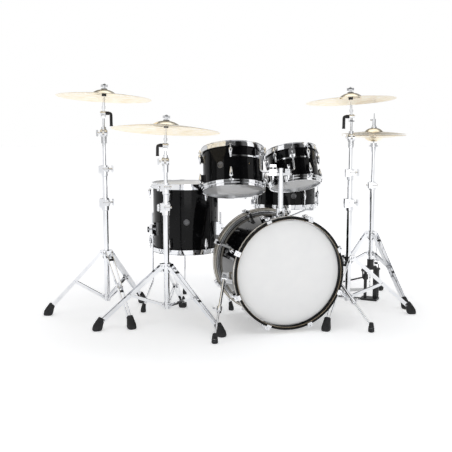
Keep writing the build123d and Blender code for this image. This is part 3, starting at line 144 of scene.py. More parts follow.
walls.links.new(cast_on_kit.outputs[0], chosen.inputs[1])
walls.links.new(seen.outputs[0], chosen.inputs[2])
walls.links.new(chosen.outputs[0], node(walls, "ShaderNodeOutputWorld").inputs["Surface"])

for label, place, size, power in (
    ("sheet_over", Vector((0.2, -0.3, 3.2)), 4.2, 30),
    ("box_left", Vector((-3.6, -1.6, 1.9)), 2.0, 14),
    ("box_right", Vector((3.4, -2.2, 2.0)), 1.8, 12),
    ("box_front", Vector((-0.6, -5.2, 0.8)), 2.4, 24),
):
    light = bpy.data.objects.new(label, bpy.data.lights.new(label, "AREA"))
    light.data.size = size
    light.data.energy = power
    light.location = place
    aim = Vector((0, 0, 0.45)) - place
    light.rotation_euler = aim.to_track_quat("-Z", "Y").to_euler()
    bpy.context.scene.collection.objects.link(light)

floor_form = bmesh.new()
bmesh.ops.create_circle(floor_form, cap_ends=True, segments=96, radius=30)
floor_mesh = bpy.data.meshes.new("floor")
floor_form.to_mesh(floor_mesh)
floor_form.free()
paint = bpy.data.materials.new("floor_paint_and_glow")
paint.use_nodes = True
paint_shader = paint.node_tree.nodes["Principled BSDF"]
paint_shader.inputs["Base Color"].default_value = (0.88, 0.89, 0.91, 1)
paint_shader.inputs["Roughness"].default_value = 0.75
paint_shader.inputs["Specular IOR Level"].default_value = 0.12
# The floor glows with painted light: weaker near the kit, where its shadows fall, and stronger far
# out, where it meets the white backdrop.
paint_shader.inputs["Emission Color"].default_value = (1, 1, 1, 1)
paint_tree = paint.node_tree
from_middle = node(paint_tree, "ShaderNodeVectorMath", operation="LENGTH")
paint_tree.links.new(node(paint_tree, "ShaderNodeTexCoord").outputs["Object"],
                     from_middle.inputs[0])
outward = math_node(paint_tree, "MULTIPLY", from_middle.outputs["Value"], 0.25)
paint_tree.links.new(ramp(paint_tree, outward, [(0.0, 0.40), (0.22, 0.42), (0.45, 0.66)]),
                     paint_shader.inputs["Emission Strength"])
floor_mesh.materials.append(paint)
floor = bpy.data.objects.new("floor", floor_mesh)
bpy.context.scene.collection.objects.link(floor)


# ---------------------------------------------------------------- drum shells
# Maple ply shells, sprayed with black lacquer and polished to a mirror outside. Inside, each
# shell is bare maple, seen through the clear lower heads.

def finish(name, colour, roughness, **constants):
    """A material whose even values stand on the shader's own sockets."""
    made = bpy.data.materials.new(name)
    made.use_nodes = True
    shader = made.node_tree.nodes["Principled BSDF"]
    shader.inputs["Base Color"].default_value = (*colour, 1)
    shader.inputs["Roughness"].default_value = roughness
    for socket, value in constants.items():
        shader.inputs[socket.replace("_", " ")].default_value = value
    return made


def grain(made, size, stretch=(1, 1, 1), detail=4.0):
    """A noise value over the surface, in grains of a size in metres."""
    tree = made.node_tree
    where = node(tree, "ShaderNodeTexCoord").outputs["Object"]
    scaled = node(tree, "ShaderNodeMapping")
    scaled.inputs["Scale"].default_value = stretch
    tree.links.new(where, scaled.inputs["Vector"])
    noise = node(tree, "ShaderNodeTexNoise")
    noise.inputs["Scale"].default_value = 1 / size
    noise.inputs["Detail"].default_value = detail
    tree.links.new(scaled.outputs[0], noise.inputs["Vector"])
    return noise.outputs["Fac"]


def drive(made, socket, value, stops):
    """Let a value set one of the shader's sockets, by stops of (place, colour or number)."""
    tree = made.node_tree
    tree.links.new(ramp(tree, value, stops), tree.nodes["Principled BSDF"].inputs[socket])


def rough_up(made, value, depth):
    """Raise the surface by a value, to a depth in metres."""
    tree = made.node_tree
    bump = node(tree, "ShaderNodeBump")
    bump.inputs["Strength"].default_value = 1.0
    bump.inputs["Distance"].default_value = depth
    tree.links.new(value, bump.inputs["Height"])
    tree.links.new(bump.outputs[0], tree.nodes["Principled BSDF"].inputs["Normal"])


black_lacquer = finish("black_lacquer", (0.003, 0.003, 0.0035), 0.05, Specular_IOR_Level=0.14)
drive(black_lacquer, "Base Color", grain(black_lacquer, 0.05),
      [(0.35, (0.0022, 0.0022, 0.0027)), (0.65, (0.0042, 0.0042, 0.0048))])
drive(black_lacquer, "Roughness", grain(black_lacquer, 0.03), [(0.3, 0.035), (0.7, 0.075)])
rough_up(black_lacquer, grain(black_lacquer, 0.009, detail=1.0), 0.00003)

bare_maple = finish("bare_maple", (0.60, 0.46, 0.30), 0.5)
drive(bare_maple, "Base Color", grain(bare_maple, 0.012, (1, 1, 9)),
      [(0.3, (0.46, 0.34, 0.21)), (0.7, (0.70, 0.56, 0.38))])
drive(bare_maple, "Roughness", grain(bare_maple, 0.004, (1, 1, 6)), [(0.3, 0.42), (0.7, 0.6)])
rough_up(bare_maple, grain(bare_maple, 0.002, (1, 1, 12)), 0.0001)


def dress(name, material):
    """Give a piece of the frame its material."""
    shown = frame["nodes"][name]
    shown.data.materials.clear()
    shown.data.materials.append(material)


def placed(origin, axis, facing=Vector((1, 0, 0))):
    """The frame whose Z runs along an axis and whose X is nearest to a direction."""
    z = axis.normalized()
    x = (facing - z * facing.dot(z)).normalized()
    y = z.cross(x)
    return Matrix((
        (x.x, y.x, z.x, origin.x), (x.y, y.y, z.y, origin.y), (x.z, y.z, z.z, origin.z),
        (0, 0, 0, 1)))


def turned(form, place, outline, steps=64):
    """Turn a closed outline of (radius, height) points round the place's Z axis."""
    rings = []
    for radius, height in outline:
        count = steps if radius > 1e-6 else 1
        corners = [(radius * cos(2 * pi * i / steps), radius * sin(2 * pi * i / steps))
                   for i in range(count)]
        rings.append([form.verts.new(place @ Vector((x, y, height))) for x, y in corners])
    for here, after in zip(rings, rings[1:] + rings[:1]):
        for i in range(steps):
            four = (here[i % len(here)], here[(i + 1) % len(here)],
                    after[(i + 1) % len(after)], after[i % len(after)])
            corners = list(dict.fromkeys(four))
            if len(corners) > 2:
                form.faces.new(corners)


def piece(form, name, material, body, bevel=0.0, place=None):
    """Make a shown piece of a form, with softened edges, and let it ride on a body."""
    bmesh.ops.recalc_face_normals(form, faces=form.faces)
    mesh = bpy.data.meshes.new(name)
    form.to_mesh(mesh)
    form.free()
    mesh.shade_smooth()
    mesh.set_sharp_from_angle(angle=radians(38))
    mesh.materials.append(material)
    made = bpy.data.objects.new(name, mesh)
    bpy.context.scene.collection.objects.link(made)
    if place is not None:
        made.matrix_world = place
    if bevel:
        edges = made.modifiers.new("soft_edges", "BEVEL")
        edges.width = bevel
        edges.segments = 2
        edges.limit_method = "ANGLE"
        edges.angle_limit = radians(40)
    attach(made, body)
    return made


film_top = 0.0005


class Drum:
    """A drum's place, half depth and shell radius, read from its heads and its shell."""

    def __init__(self, name, body, rises):
        heads = frame["nodes"][name + "_heads"].data
        film = max(heads.polygons, key=lambda face: face.area)
        axis = film.normal.normalized()
        self.name = name
        self.body = body
        self.axis = axis if axis.dot(rises) > 0 else -axis
        low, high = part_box(name + "_heads")
        self.middle = (low + high) / 2
        reaches = [(corner.co - self.middle).dot(self.axis) for corner in heads.vertices]
        self.half = max(reaches) - film_top
        shell = frame["nodes"][name + "_shell"].data
        spokes = [corner.co - self.middle for corner in shell.vertices]
        self.radius = max((spoke - self.axis * spoke.dot(self.axis)).length for spoke in spokes)
        self.place = placed(self.middle, self.axis, -view_level)

    def end(self, way):
        """The place of a bearing edge, with Z out of the drum."""
        return placed(self.middle + self.axis * (self.half * way), self.axis * way, -view_level)


shell_wall = 0.0065
upright = Vector((0, 0, 1))
drums = {
    "bass": Drum("bass", "kit", Vector((0, -1, 0))),
    "tom12": Drum("tom12", "tom12", upright),
    "tom10": Drum("tom10", "tom10", upright),
    "floor_tom": Drum("floor_tom", "floor_tom", upright),
    "snare": Drum("snare", "snare_drum", upright),
}
for drum in drums.values():
    dress(drum.name + "_shell", black_lacquer)
    inside = drum.radius - shell_wall
    liner = bmesh.new()
    turned(liner, drum.place, [
        (inside - 0.0002, -drum.half + 0.004), (inside - 0.0002, drum.half - 0.004),
        (inside - 0.0008, drum.half - 0.004), (inside - 0.0008, -drum.half + 0.004)], 128)
    piece(liner, drum.name + "_inner_ply", bare_maple, drum.body)


# ---------------------------------------------------------------- drumheads
# Polyester film drawn over the bearing edge and set in an aluminium ring. The upper heads and
# both heads of the bass drum are coated white; the lower heads are thin clear film.

coated = finish("coated_head", (0.95, 0.95, 0.945), 0.5)
drive(coated, "Base Color", grain(coated, 0.07),
      [(0.3, (0.93, 0.932, 0.932)), (0.7, (0.97, 0.97, 0.965))])
drive(coated, "Roughness", grain(coated, 0.02), [(0.3, 0.42), (0.7, 0.58)])
rough_up(coated, grain(coated, 0.0008, detail=3.0), 0.00006)

clear_film = finish("clear_film", (0.80, 0.82, 0.84), 0.06, Alpha=0.5,
                    Specular_IOR_Level=1.0, IOR=1.9)
drive(clear_film, "Roughness", grain(clear_film, 0.03), [(0.3, 0.03), (0.7, 0.12)])

satin_aluminium = finish("satin_aluminium", (0.72, 0.73, 0.75), 0.3, Metallic=1.0)
drive(satin_aluminium, "Roughness", grain(satin_aluminium, 0.002, (1, 1, 8)),
      [(0.3, 0.22), (0.7, 0.4)])


def film_outline(radius):
    """A film's section: flat across the drum, round over the edge and down as a collar."""
    return [
        (0, film_top), (radius - 0.004, film_top), (radius + 0.0002, 0.00045),
        (radius + 0.0009, 0.0001), (radius + 0.0011, -0.0008), (radius + 0.0011, -0.0068),
        (radius + 0.0007, -0.0068), (radius + 0.0007, -0.0008), (radius, 0.0001), (0, 0.0001)]


for drum in drums.values():
    rings = bmesh.new()
    for way, side in ((1, "batter"), (-1, "resonant")):
        head = bmesh.new()
        turned(head, drum.end(way), film_outline(drum.radius), 128)
        clear = way < 0 and drum.name != "bass"
        made = piece(head, f"{drum.name}_{side}_film", clear_film if clear else coated,
                     drum.body)
        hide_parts(drum.name + "_heads")
        inner = drum.radius + 0.0013
        outer = drum.radius + 0.006
        turned(rings, drum.end(way), [
            (inner, -0.0062), (outer - 0.001, -0.0062), (outer, -0.0072), (outer, -0.0128),
            (inner, -0.0128)], 128)
    made = piece(rings, drum.name + "_flesh_rings", satin_aluminium, drum.body)
    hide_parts(drum.name + "_heads")


# ---------------------------------------------------------------- bass drum hoops
# Bent maple hoops, sprayed gloss black. A strip of champagne sparkle lies in the outer face,
# and the wood shows as a thin pale line where the lacquer is cut back at the edges.

hoop_black = finish("hoop_black", (0.004, 0.004, 0.004), 0.08, Specular_IOR_Level=0.14)
drive(hoop_black, "Base Color", grain(hoop_black, 0.006),
      [(0.3, (0.003, 0.003, 0.003)), (0.7, (0.007, 0.0066, 0.006))])
drive(hoop_black, "Roughness", grain(hoop_black, 0.02), [(0.3, 0.06), (0.7, 0.13)])
dress("bass_hoops", hoop_black)

champagne = finish("champagne_inlay", (0.74, 0.70, 0.63), 0.28, Metallic=0.35)
flakes = node(champagne.node_tree, "ShaderNodeTexVoronoi")
flakes.inputs["Scale"].default_value = 900
champagne.node_tree.links.new(
    node(champagne.node_tree, "ShaderNodeTexCoord").outputs["Object"], flakes.inputs["Vector"])
drive(champagne, "Base Color", flakes.outputs["Color"],
      [(0.2, (0.60, 0.55, 0.47)), (0.6, (0.82, 0.78, 0.70)), (0.9, (0.95, 0.92, 0.87))])

bass = drums["bass"]
hoop_low, hoop_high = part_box("bass_hoops")
hoop_out = (hoop_high.x - hoop_low.x) / 2
hoop_wall = 0.013
hoop_width = 0.038
hoop_over = 0.022
strips = bmesh.new()
lines = bmesh.new()
for way in (1, -1):
    end = bass.end(way)
    middle = hoop_over - hoop_width / 2
    turned(strips, end, [
        (hoop_out - 0.001, middle - 0.008), (hoop_out + 0.0004, middle - 0.0078),
        (hoop_out + 0.0004, middle + 0.0078), (hoop_out - 0.001, middle + 0.008)], 160)
    if way < 0:
        inner_face = hoop_over - hoop_width
        turned(strips, end, [
            (hoop_out - 0.0100, inner_face + 0.0005), (hoop_out - 0.0014, inner_face + 0.0005),
            (hoop_out - 0.0014, inner_face - 0.0004), (hoop_out - 0.0100, inner_face - 0.0004)], 160)
    if way < 0:
        edges = [(hoop_out, hoop_over - hoop_width), (hoop_out, hoop_over)]
    else:
        edges = [(hoop_out - hoop_wall, hoop_over)]
    for radius, height in edges:
        turned(lines, end, [
            (radius - 0.0005, height - 0.0005), (radius + 0.0005, height - 0.0005),
            (radius + 0.0005, height + 0.0003), (radius - 0.0005, height + 0.0003)], 160)
piece(strips, "bass_hoop_inlay", champagne, "kit")
piece(lines, "bass_hoop_wood_edges", bare_maple, "kit")


# ---------------------------------------------------------------- chromed hardware
# Steel tube, pressed hoops, rods and zinc castings, all polished and chrome plated. The plate
# is bright, with faint wipe marks and a little unevenness from the polishing wheel.

chrome = finish("chrome", (0.80, 0.81, 0.83), 0.06, Metallic=1.0)
drive(chrome, "Base Color", grain(chrome, 0.04),
      [(0.3, (0.70, 0.71, 0.73)), (0.7, (0.80, 0.805, 0.82))])
drive(chrome, "Roughness", grain(chrome, 0.012, (1, 1, 0.35)), [(0.3, 0.03), (0.7, 0.11)])
rough_up(chrome, grain(chrome, 0.006, (1, 1, 0.3), 2.0), 0.00002)

not_chromed = ("_shell", "_heads", "_cymbal", "bass_hoops", "_pedal_base", "_footboard",
               "rubber_feet", "snare_wires")
for name in frame["nodes"]:
    if not name.endswith(not_chromed):
        dress(name, chrome)


# ---------------------------------------------------------------- rubber feet
# Moulded black rubber boots, pushed on to the ends of the legs. A boot leans with its leg, has
# a flat sole, and carries moulded ribs for grip round its middle.

rubber = finish("black_rubber", (0.016, 0.016, 0.017), 0.6, Specular_IOR_Level=0.35)
drive(rubber, "Base Color", grain(rubber, 0.01),
      [(0.3, (0.010, 0.010, 0.011)), (0.7, (0.026, 0.026, 0.028))])
drive(rubber, "Roughness", grain(rubber, 0.004), [(0.3, 0.48), (0.7, 0.75)])
rough_up(rubber, grain(rubber, 0.0008), 0.0001)


def lofted(form, rings):
    """Join rings of points, one after another, and close both ends."""
    made = [[form.verts.new(point) for point in ring] for ring in rings]
    for here, after in zip(made, made[1:]):
        for i in range(len(here)):
            j = (i + 1) % len(here)
            form.faces.new((here[i], here[j], after[j], after[i]))
    form.faces.new(list(reversed(made[0])))
    form.faces.new(made[-1])


def rounded(place, half_x, half_y, steps=32, squareness=3.0):
    """A ring of points between an ellipse and a rectangle."""
    ring = []
    for i in range(steps):
        angle = 2 * pi * i / steps
        c, s = cos(angle), sin(angle)
        swell = (abs(c) ** squareness + abs(s) ** squareness) ** (-1 / squareness)
        ring.append(place @ Vector((half_x * c * swell, half_y * s * swell, 0)))
    return ring


def islands(mesh):
    """The separate solids of a mesh, as lists of their corners."""
    form = bmesh.new()
    form.from_mesh(mesh)
    bmesh.ops.remove_doubles(form, verts=form.verts, dist=1e-6)
    left = set(form.verts)
    found = []
    while left:
        reached = [left.pop()]
        group = []
        while reached:
            corner = reached.pop()
            group.append(corner.co.copy())
            for edge in corner.link_edges:
                other = edge.other_vert(corner)
                if other in left:
                    left.remove(other)
                    reached.append(other)
        found.append(group)
    form.free()
    return found


def boot(form, foot, inward, radius, height, lean):
    """A boot whose sole lies on the floor at the foot, and whose top leans inward."""
    stages = [(0, 0.78, 0.0), (0.05, 0.92, 0.0), (0.16, 0.97, 0.03), (0.30, 0.96, 0.12)]
    for rib in range(4):
        step = 0.38 + rib * 0.11
        share = 0.93 - rib * 0.055
        stages += [(step, share, step - 0.2), (step + 0.03, share - 0.04, step - 0.17),
                   (step + 0.07, share - 0.045, step - 0.13)]
    stages += [(0.86, 0.70, 0.68), (0.96, 0.66, 0.80), (1.0, 0.56, 0.85)]
    rings = []
    for up_share, size, shift in stages:
        centre = foot + inward * (lean * shift) + Vector((0, 0, height * up_share))
        tilt = (inward * (0.55 * min(1.0, up_share * 1.6)) + upright).normalized()
        floor_clear = tilt if up_share > 0.2 else upright
        rings.append(rounded(placed(centre, floor_clear, inward), radius * size * 0.95,
                             radius * size * 0.86))
    lofted(form, rings)


def floor_below(name):
    """The spot on the floor below the middle of a node's box."""
    low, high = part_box(name)
    return Vector(((low.x + high.x) / 2, (low.y + high.y) / 2, 0))


joints = {joint["name"]: joint for joint in frame["joints"]}
stand_names = ("crash_left", "ride", "crash_right")
columns_at = {
    "snare": floor_below("snare_stand_tube"), "hihat": floor_below("hihat_tube"),
    "floor_tom": floor_below("floor_tom_shell")}
for name in stand_names:
    spot = joints[name + "_tilt"]["pos_m"]
    columns_at[name] = Vector((spot[0], spot[1], 0))
# From each column to the middle of its feet.
legs_reach = {
    "snare": 0.215, "hihat": 0.270, "floor_tom": 0.274,
    "crash_left": 0.315, "ride": 0.356, "crash_right": 0.347}
columns = [(at, legs_reach[name]) for name, at in columns_at.items()]
boot_over = 1.03
large_boot = 0.018
boots = bmesh.new()
for corners in islands(frame["nodes"]["rubber_feet"].data):
    low = Vector([min(corner[i] for corner in corners) for i in range(3)])
    high = Vector([max(corner[i] for corner in corners) for i in range(3)])
    if low.z > 0.001 or high.z - low.z < 0.04:
        continue
    foot = Vector(((low.x + high.x) / 2, (low.y + high.y) / 2, 0))
    radius = (high.x - low.x) / 2
    misses = [abs((column - foot).length - reach) for column, reach in columns]
    owner, reach = columns[misses.index(min(misses))]
    inward = (owner - foot).normalized()
    lean = 0.030 if radius > large_boot else 0.008
    boot(boots, foot, inward, radius, high.z * boot_over, lean)
feet = piece(boots, "rubber_boots", rubber, "kit")
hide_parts("rubber_feet")


# ---------------------------------------------------------------- cymbals
# Cast bronze discs, hammered and then lathed on both faces, which leaves fine grooves round the
# bow and bell. Soft felts, one above and one below, hold each cymbal on the three cymbal stands.

bronze = finish("lathed_bronze", (0.90, 0.80, 0.62), 0.24, Metallic=1.0)
turns = bronze.node_tree
spun = node(turns, "ShaderNodeTexCoord").outputs["Object"]
length_out = node(turns, "ShaderNodeVectorMath", operation="LENGTH")
flattened = node(turns, "ShaderNodeVectorMath", operation="MULTIPLY")
flattened.inputs[1].default_value = (1, 1, 0)
turns.links.new(spun, flattened.inputs[0])
turns.links.new(flattened.outputs[0], length_out.inputs[0])
groove_place = node(turns, "ShaderNodeCombineXYZ")
turns.links.new(length_out.outputs["Value"], groove_place.inputs[0])
lathe_marks = node(turns, "ShaderNodeTexNoise")
lathe_marks.inputs["Scale"].default_value = 620
lathe_marks.inputs["Detail"].default_value = 3
turns.links.new(groove_place.outputs[0], lathe_marks.inputs["Vector"])
wide_marks = node(turns, "ShaderNodeTexNoise")
wide_marks.inputs["Scale"].default_value = 60
turns.links.new(groove_place.outputs[0], wide_marks.inputs["Vector"])
toned = math_node(turns, "ADD", wide_marks.outputs["Fac"], grain(bronze, 0.05))
toned = math_node(turns, "MULTIPLY", toned, 0.5)
drive(bronze, "Base Color", toned,
      [(0.36, (0.80, 0.66, 0.44)), (0.5, (0.93, 0.82, 0.62)), (0.64, (0.98, 0.92, 0.78))])
drive(bronze, "Roughness", lathe_marks.outputs["Fac"], [(0.3, 0.17), (0.7, 0.33)])
rough_up(bronze, lathe_marks.outputs["Fac"], 0.00012)

grey_felt = finish("grey_felt", (0.30, 0.30, 0.31), 0.95, Sheen_Weight=0.6, Sheen_Roughness=0.5)
drive(grey_felt, "Base Color", grain(grey_felt, 0.0015),
      [(0.3, (0.17, 0.17, 0.18)), (0.7, (0.42, 0.42, 0.43))])
rough_up(grey_felt, grain(grey_felt, 0.0007), 0.0004)

black_felt = finish("black_felt", (0.015, 0.015, 0.016), 0.95, Sheen_Weight=0.3)
drive(black_felt, "Base Color", grain(black_felt, 0.0015),
      [(0.3, (0.008, 0.008, 0.009)), (0.7, (0.028, 0.028, 0.030))])
rough_up(black_felt, grain(black_felt, 0.0007), 0.0004)


def through(radius, points):
    """The height at a radius on the parabola through three (radius, height) points."""
    height = 0.0
    for i, (r_i, h_i) in enumerate(points):
        share = h_i
        for j, (r_j, _) in enumerate(points):
            if i != j:
                share *= (radius - r_j) / (r_i - r_j)
        height += share
    return height


cymbal_thick = 0.0012
upper_face = 0.00112
lower_face = 0.00006
bow_groove = 0.00013
bell_groove = 0.00006


def cymbal_form(radius, bow, bell, bell_radius, hole):
    """A lathed cymbal with its rim at height 0: grooved faces and a rounded edge."""
    bow_curve = ((radius, 0.0), ((radius + bell_radius) / 2, bow * 0.62), (bell_radius, bow))
    bell_curve = ((bell_radius, bow), (bell_radius * 0.68, bow + bell * 0.66), (hole, bow + bell))
    count = 110
    top = []
    bottom = []
    for i in range(count + 1):
        out = radius + (hole - radius) * i / count
        rise = through(out, bow_curve if out > bell_radius else bell_curve)
        cut = bow_groove if i % 2 else 0.0
        if bell_radius * 0.93 < out < bell_radius * 1.05:
            cut = bell_groove
        top.append((out, rise + upper_face - cut))
        bottom.append((out, rise + lower_face + cut))
    edge = [(radius + 0.0002, cymbal_thick / 2)]
    form = bmesh.new()
    turned(form, Matrix.Identity(4), edge + top + list(reversed(bottom)), 192)
    return form


felt_round = 0.016
felt_thick = 0.007
hole = 0.0067
cymbal_places = {}
for name in stand_names:
    top = Vector(joints[name + "_rock"]["pos_m"])
    axis = (top - Vector(joints[name + "_tilt"]["pos_m"])).normalized()
    spokes = [corner.co - top for corner in frame["nodes"][name + "_cymbal"].data.vertices]
    rim = max(spokes, key=lambda spoke: (spoke - axis * spoke.dot(axis)).length)
    radius = (rim - axis * rim.dot(axis)).length
    rims = [spoke.dot(axis) for spoke in spokes
            if (spoke - axis * spoke.dot(axis)).length > radius - 0.0005]
    depth = -min(rims)
    felt_top = max(spoke.dot(axis) for spoke in spokes)
    bell_top = felt_top - felt_thick
    place = placed(top + axis * min(rims), axis)
    cymbal_places[name] = place
    bell = 0.022
    bow = depth + bell_top - cymbal_thick - bell
    form = cymbal_form(radius, bow, bell, radius * 0.27, hole)
    made = piece(form, name + "_bronze", bronze, name + "_cymbal", place=place)
    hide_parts(name + "_cymbal")
    crown = depth + bell_top
    for word, low, felt in (("lower", crown - cymbal_thick - felt_thick, black_felt),
                            ("upper", crown, grey_felt)):
        washer = bmesh.new()
        turned(washer, Matrix.Identity(4), [
            (hole + 0.001, low + 0.0002), (felt_round - 0.0015, low + 0.0002),
            (felt_round, low + 0.002), (felt_round, low + felt_thick - 0.002),
            (felt_round - 0.0015, low + felt_thick - 0.0002),
            (hole + 0.001, low + felt_thick - 0.0002)], 40)
        made = piece(washer, f"{name}_{word}_felt", felt, name + "_cymbal", place=place)
        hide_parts(name + "_cymbal")

for name, body, way in (("hihat_top", "hihat_rod", 1), ("hihat_bottom", "hihat_tube", -1)):
    low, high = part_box(name + "_cymbal")
    radius = (high.x - low.x) / 2
    rim = low.z if way > 0 else high.z
    middle = Vector(((low.x + high.x) / 2, (low.y + high.y) / 2, rim))
    place = placed(middle, upright * way)
    bell = 0.020
    bow = high.z - low.z - bell - cymbal_thick
    form = cymbal_form(radius, bow, bell, 0.052, hole)
    made = piece(form, name + "_bronze", bronze, body, place=place)
    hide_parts(name + "_cymbal")


# ---------------------------------------------------------------- pedals and snare wires
# The pedal frames are black powder-coated castings, and the footboards are cast alloy left
# satin. The wires under the snare are twenty coils of steel, held by a plate at each end.

black_casting = finish("black_casting", (0.014, 0.014, 0.015), 0.4)
drive(black_casting, "Base Color", grain(black_casting, 0.004),
      [(0.3, (0.009, 0.009, 0.010)), (0.7, (0.022, 0.022, 0.024))])
drive(black_casting, "Roughness", grain(black_casting, 0.0015), [(0.3, 0.32), (0.7, 0.5)])
rough_up(black_casting, grain(black_casting, 0.0009), 0.00008)
satin_alloy = finish("satin_alloy", (0.70, 0.71, 0.72), 0.33, Metallic=1.0)
drive(satin_alloy, "Base Color", grain(satin_alloy, 0.006),
      [(0.3, (0.62, 0.63, 0.64)), (0.7, (0.78, 0.785, 0.79))])
drive(satin_alloy, "Roughness", grain(satin_alloy, 0.0012), [(0.3, 0.26), (0.7, 0.42)])
rough_up(satin_alloy, grain(satin_alloy, 0.0008), 0.00005)
steel_wire = finish("steel_wire", (0.58, 0.58, 0.60), 0.25, Metallic=1.0)
drive(steel_wire, "Roughness", grain(steel_wire, 0.002), [(0.3, 0.18), (0.7, 0.34)])
dress("kick_pedal_base", black_casting)
dress("hihat_pedal_base", black_casting)
dress("kick_footboard", satin_alloy)
dress("hihat_footboard", satin_alloy)
dress("snare_wires", steel_wire)


# ---------------------------------------------------------------- memory clamps
# Chrome-plated zinc clamps, bolted round each tube below its collar, so that a stand goes back
# to the same height. Each has a broad jaw, a narrow jaw and a bolt across the gap; those on the
# cymbal stands also have a neck ring.

def block(form, place, half_x, half_y, low, high):
    """A block with rounded corners and softened ends, between two heights of a place."""
    soft = min(half_x, half_y) * 0.12
    rings = []
    for height, shrink in ((low, soft), (low + soft, 0), (high - soft, 0), (high, soft)):
        at = place @ Matrix.Translation((0, 0, height))
        rings.append(rounded(at, half_x - shrink, half_y - shrink, 24, 7.0))
    lofted(form, rings)


def swept(form, points, radius, sides=12):
    """A round rod along points."""
    rings = []
    across = Vector((0.31, 0.52, 0.79))
    for i, point in enumerate(points):
        along = points[min(i + 1, len(points) - 1)] - points[max(i - 1, 0)]
        place = placed(point, along, across)
        across = place.col[0].xyz
        rings.append(rounded(place, radius, radius, sides, 2.0))
    lofted(form, rings)


def looped(form, points, radius, sides=8):
    """A round rod along a closed and flat loop of points."""
    centre = sum(points, Vector()) / len(points)
    normal = (points[0] - centre).cross(points[1] - centre).normalized()
    rings = []
    for i, point in enumerate(points):
        along = points[(i + 1) % len(points)] - points[i - 1]
        place = placed(point, along, normal)
        rings.append([form.verts.new(corner) for corner in
                      rounded(place, radius, radius, sides, 2.0)])
    for here, after in zip(rings, rings[1:] + rings[:1]):
        for i in range(sides):
            j = (i + 1) % sides
            form.faces.new((here[i], here[j], after[j], after[i]))


def bolt(form, start, end, radius, nut):
    """A bolt with a round head at one end and a six-sided nut at the other."""
    way = (end - start).normalized()
    swept(form, [start, end], radius)
    swept(form, [start - way * nut * 0.5, start + way * nut * 0.25], nut * 0.95, 16)
    swept(form, [end - way * nut * 0.25, end + way * nut * 0.6], nut, 6)


def wing(form, root, way, span):
    """A wing screw: a stem, a hub and two rounded ears."""
    swept(form, [root, root + way * span * 0.45], span * 0.10)
    across = way.cross(upright).normalized()
    swept(form, [root + way * span * 0.3, root + way * span * 0.75], span * 0.20, 16)
    for side in (1, -1):
        start = root + way * span * 0.5
        tip = root + way * span * 0.85 + across * (side * span * 0.62)
        ear = placed((start + tip) / 2, way.cross(across), tip - start)
        block(form, ear, (tip - start).length * 0.5, span * 0.17, -span * 0.06, span * 0.06)


def jaw(form, place, reach, half_y, bore, low, high):
    """Half of a clamp: a block out along X with a half bore round the place's Z axis."""
    corner = 0.003
    split = 0.0006
    outline = [(split, half_y), (reach - corner, half_y), (reach, half_y - corner),
               (reach, corner - half_y), (reach - corner, -half_y), (split, -half_y)]
    outline += [(bore * cos(radians(turn)) + split, bore * sin(radians(turn)))
                for turn in range(-90, 91, 10)]
    lofted(form, [[place @ Vector((x, y, height)) for x, y in outline] for height in (low, high)])


viewer = -view_level
bore_inset = 0.0007
# The tops of each cymbal stand's two collars, and the collars' radii and heights.
collar_tops = {
    "crash_left": (0.621, 0.790), "ride": (0.617, 0.713), "crash_right": (0.619, 0.771)}
collar_radii = (0.0195, 0.0175)
collar_talls = (0.046, 0.038)
# The single collars' tops and the bore of their clamps.
single_tops = {"hihat": 0.678, "snare": 0.372}
single_bore = 0.0188
clamps = bmesh.new()
for name in stand_names:
    for top, tube, tall in zip(collar_tops[name], collar_radii, collar_talls):
        at = columns_at[name]
        jaw(clamps, placed(at, upright, -view_right), 0.0285, tube + 0.003, tube - bore_inset,
            top - tall - 0.002, top - 0.002)
        jaw(clamps, placed(at, upright, view_right), 0.0235, tube + 0.0015, tube - bore_inset,
            top - tall + 0.006, top - 0.008)
        across = at + upright * (top - tall * 0.5) + viewer * (tube + 0.0005)
        bolt(clamps, across - view_right * 0.004, across + view_right * 0.026, 0.0032, 0.0062)
        turned(clamps, placed(at, upright), [
            (tube - 0.004, top - tall - 0.020), (tube - 0.001, top - tall - 0.018),
            (tube - 0.0005, top - tall - 0.004), (tube - 0.002, top - tall - 0.002),
            (tube - 0.004, top - tall - 0.002)], 40)
for name, top in single_tops.items():
    at = columns_at[name]
    jaw(clamps, placed(at, upright, -view_right), 0.0270, 0.0215, single_bore,
        top - 0.036, top - 0.002)
    jaw(clamps, placed(at, upright, view_right), 0.0225, 0.0205, single_bore,
        top - 0.030, top - 0.008)
    across = at + upright * (top - 0.019) + viewer * 0.020
    bolt(clamps, across - view_right * 0.002, across + view_right * 0.022, 0.003, 0.0058)
piece(clamps, "memory_clamps", chrome, "kit", bevel=0.0006)


# ---------------------------------------------------------------- leg rivets and sleeves
# The legs are pairs of steel bars. A rivet joins each bar to its strut and to the collars, and
# a spacer with a black sleeve keeps the two bars apart.

# The turn of each tripod's first leg in degrees, and the heights of its two collars.
tripods = {
    "snare": (30.0, 0.235, 0.100), "hihat": (52.0, 0.398, 0.284),
    "crash_left": (46.6, 0.348, 0.113), "ride": (66.5, 0.311, 0.113),
    "crash_right": (109.8, 0.318, 0.113)}
rivets = bmesh.new()
sleeves = bmesh.new()
for name, (zero, top, low) in tripods.items():
    at = columns_at[name]
    reach = legs_reach[name]
    for number in range(3):
        way = radians(zero + 120 * number)
        out = Vector((cos(way), sin(way), 0))
        across = Vector((-sin(way), cos(way), 0))
        start = at + out * 0.027 + upright * (top - 0.014)
        end = at + out * (reach - 0.006) + upright * 0.029
        for share, half in ((0.0, 0.0195), (0.5, 0.0145), (0.93, 0.0110)):
            spot = start + (end - start) * share
            bolt(rivets, spot - across * half, spot + across * half, 0.0030, 0.0052)
        for share, half in ((0.10, 0.0125), (0.56, 0.0085)):
            spot = start + (end - start) * share
            swept(sleeves, [spot - across * half, spot + across * half], 0.0062, 14)
        foot = at + out * 0.024 + upright * (low - 0.012)
        bolt(rivets, foot - across * 0.0115, foot + across * 0.0115, 0.0026, 0.0046)
piece(rivets, "leg_rivets", chrome, "kit")
piece(sleeves, "leg_sleeves", rubber, "kit")


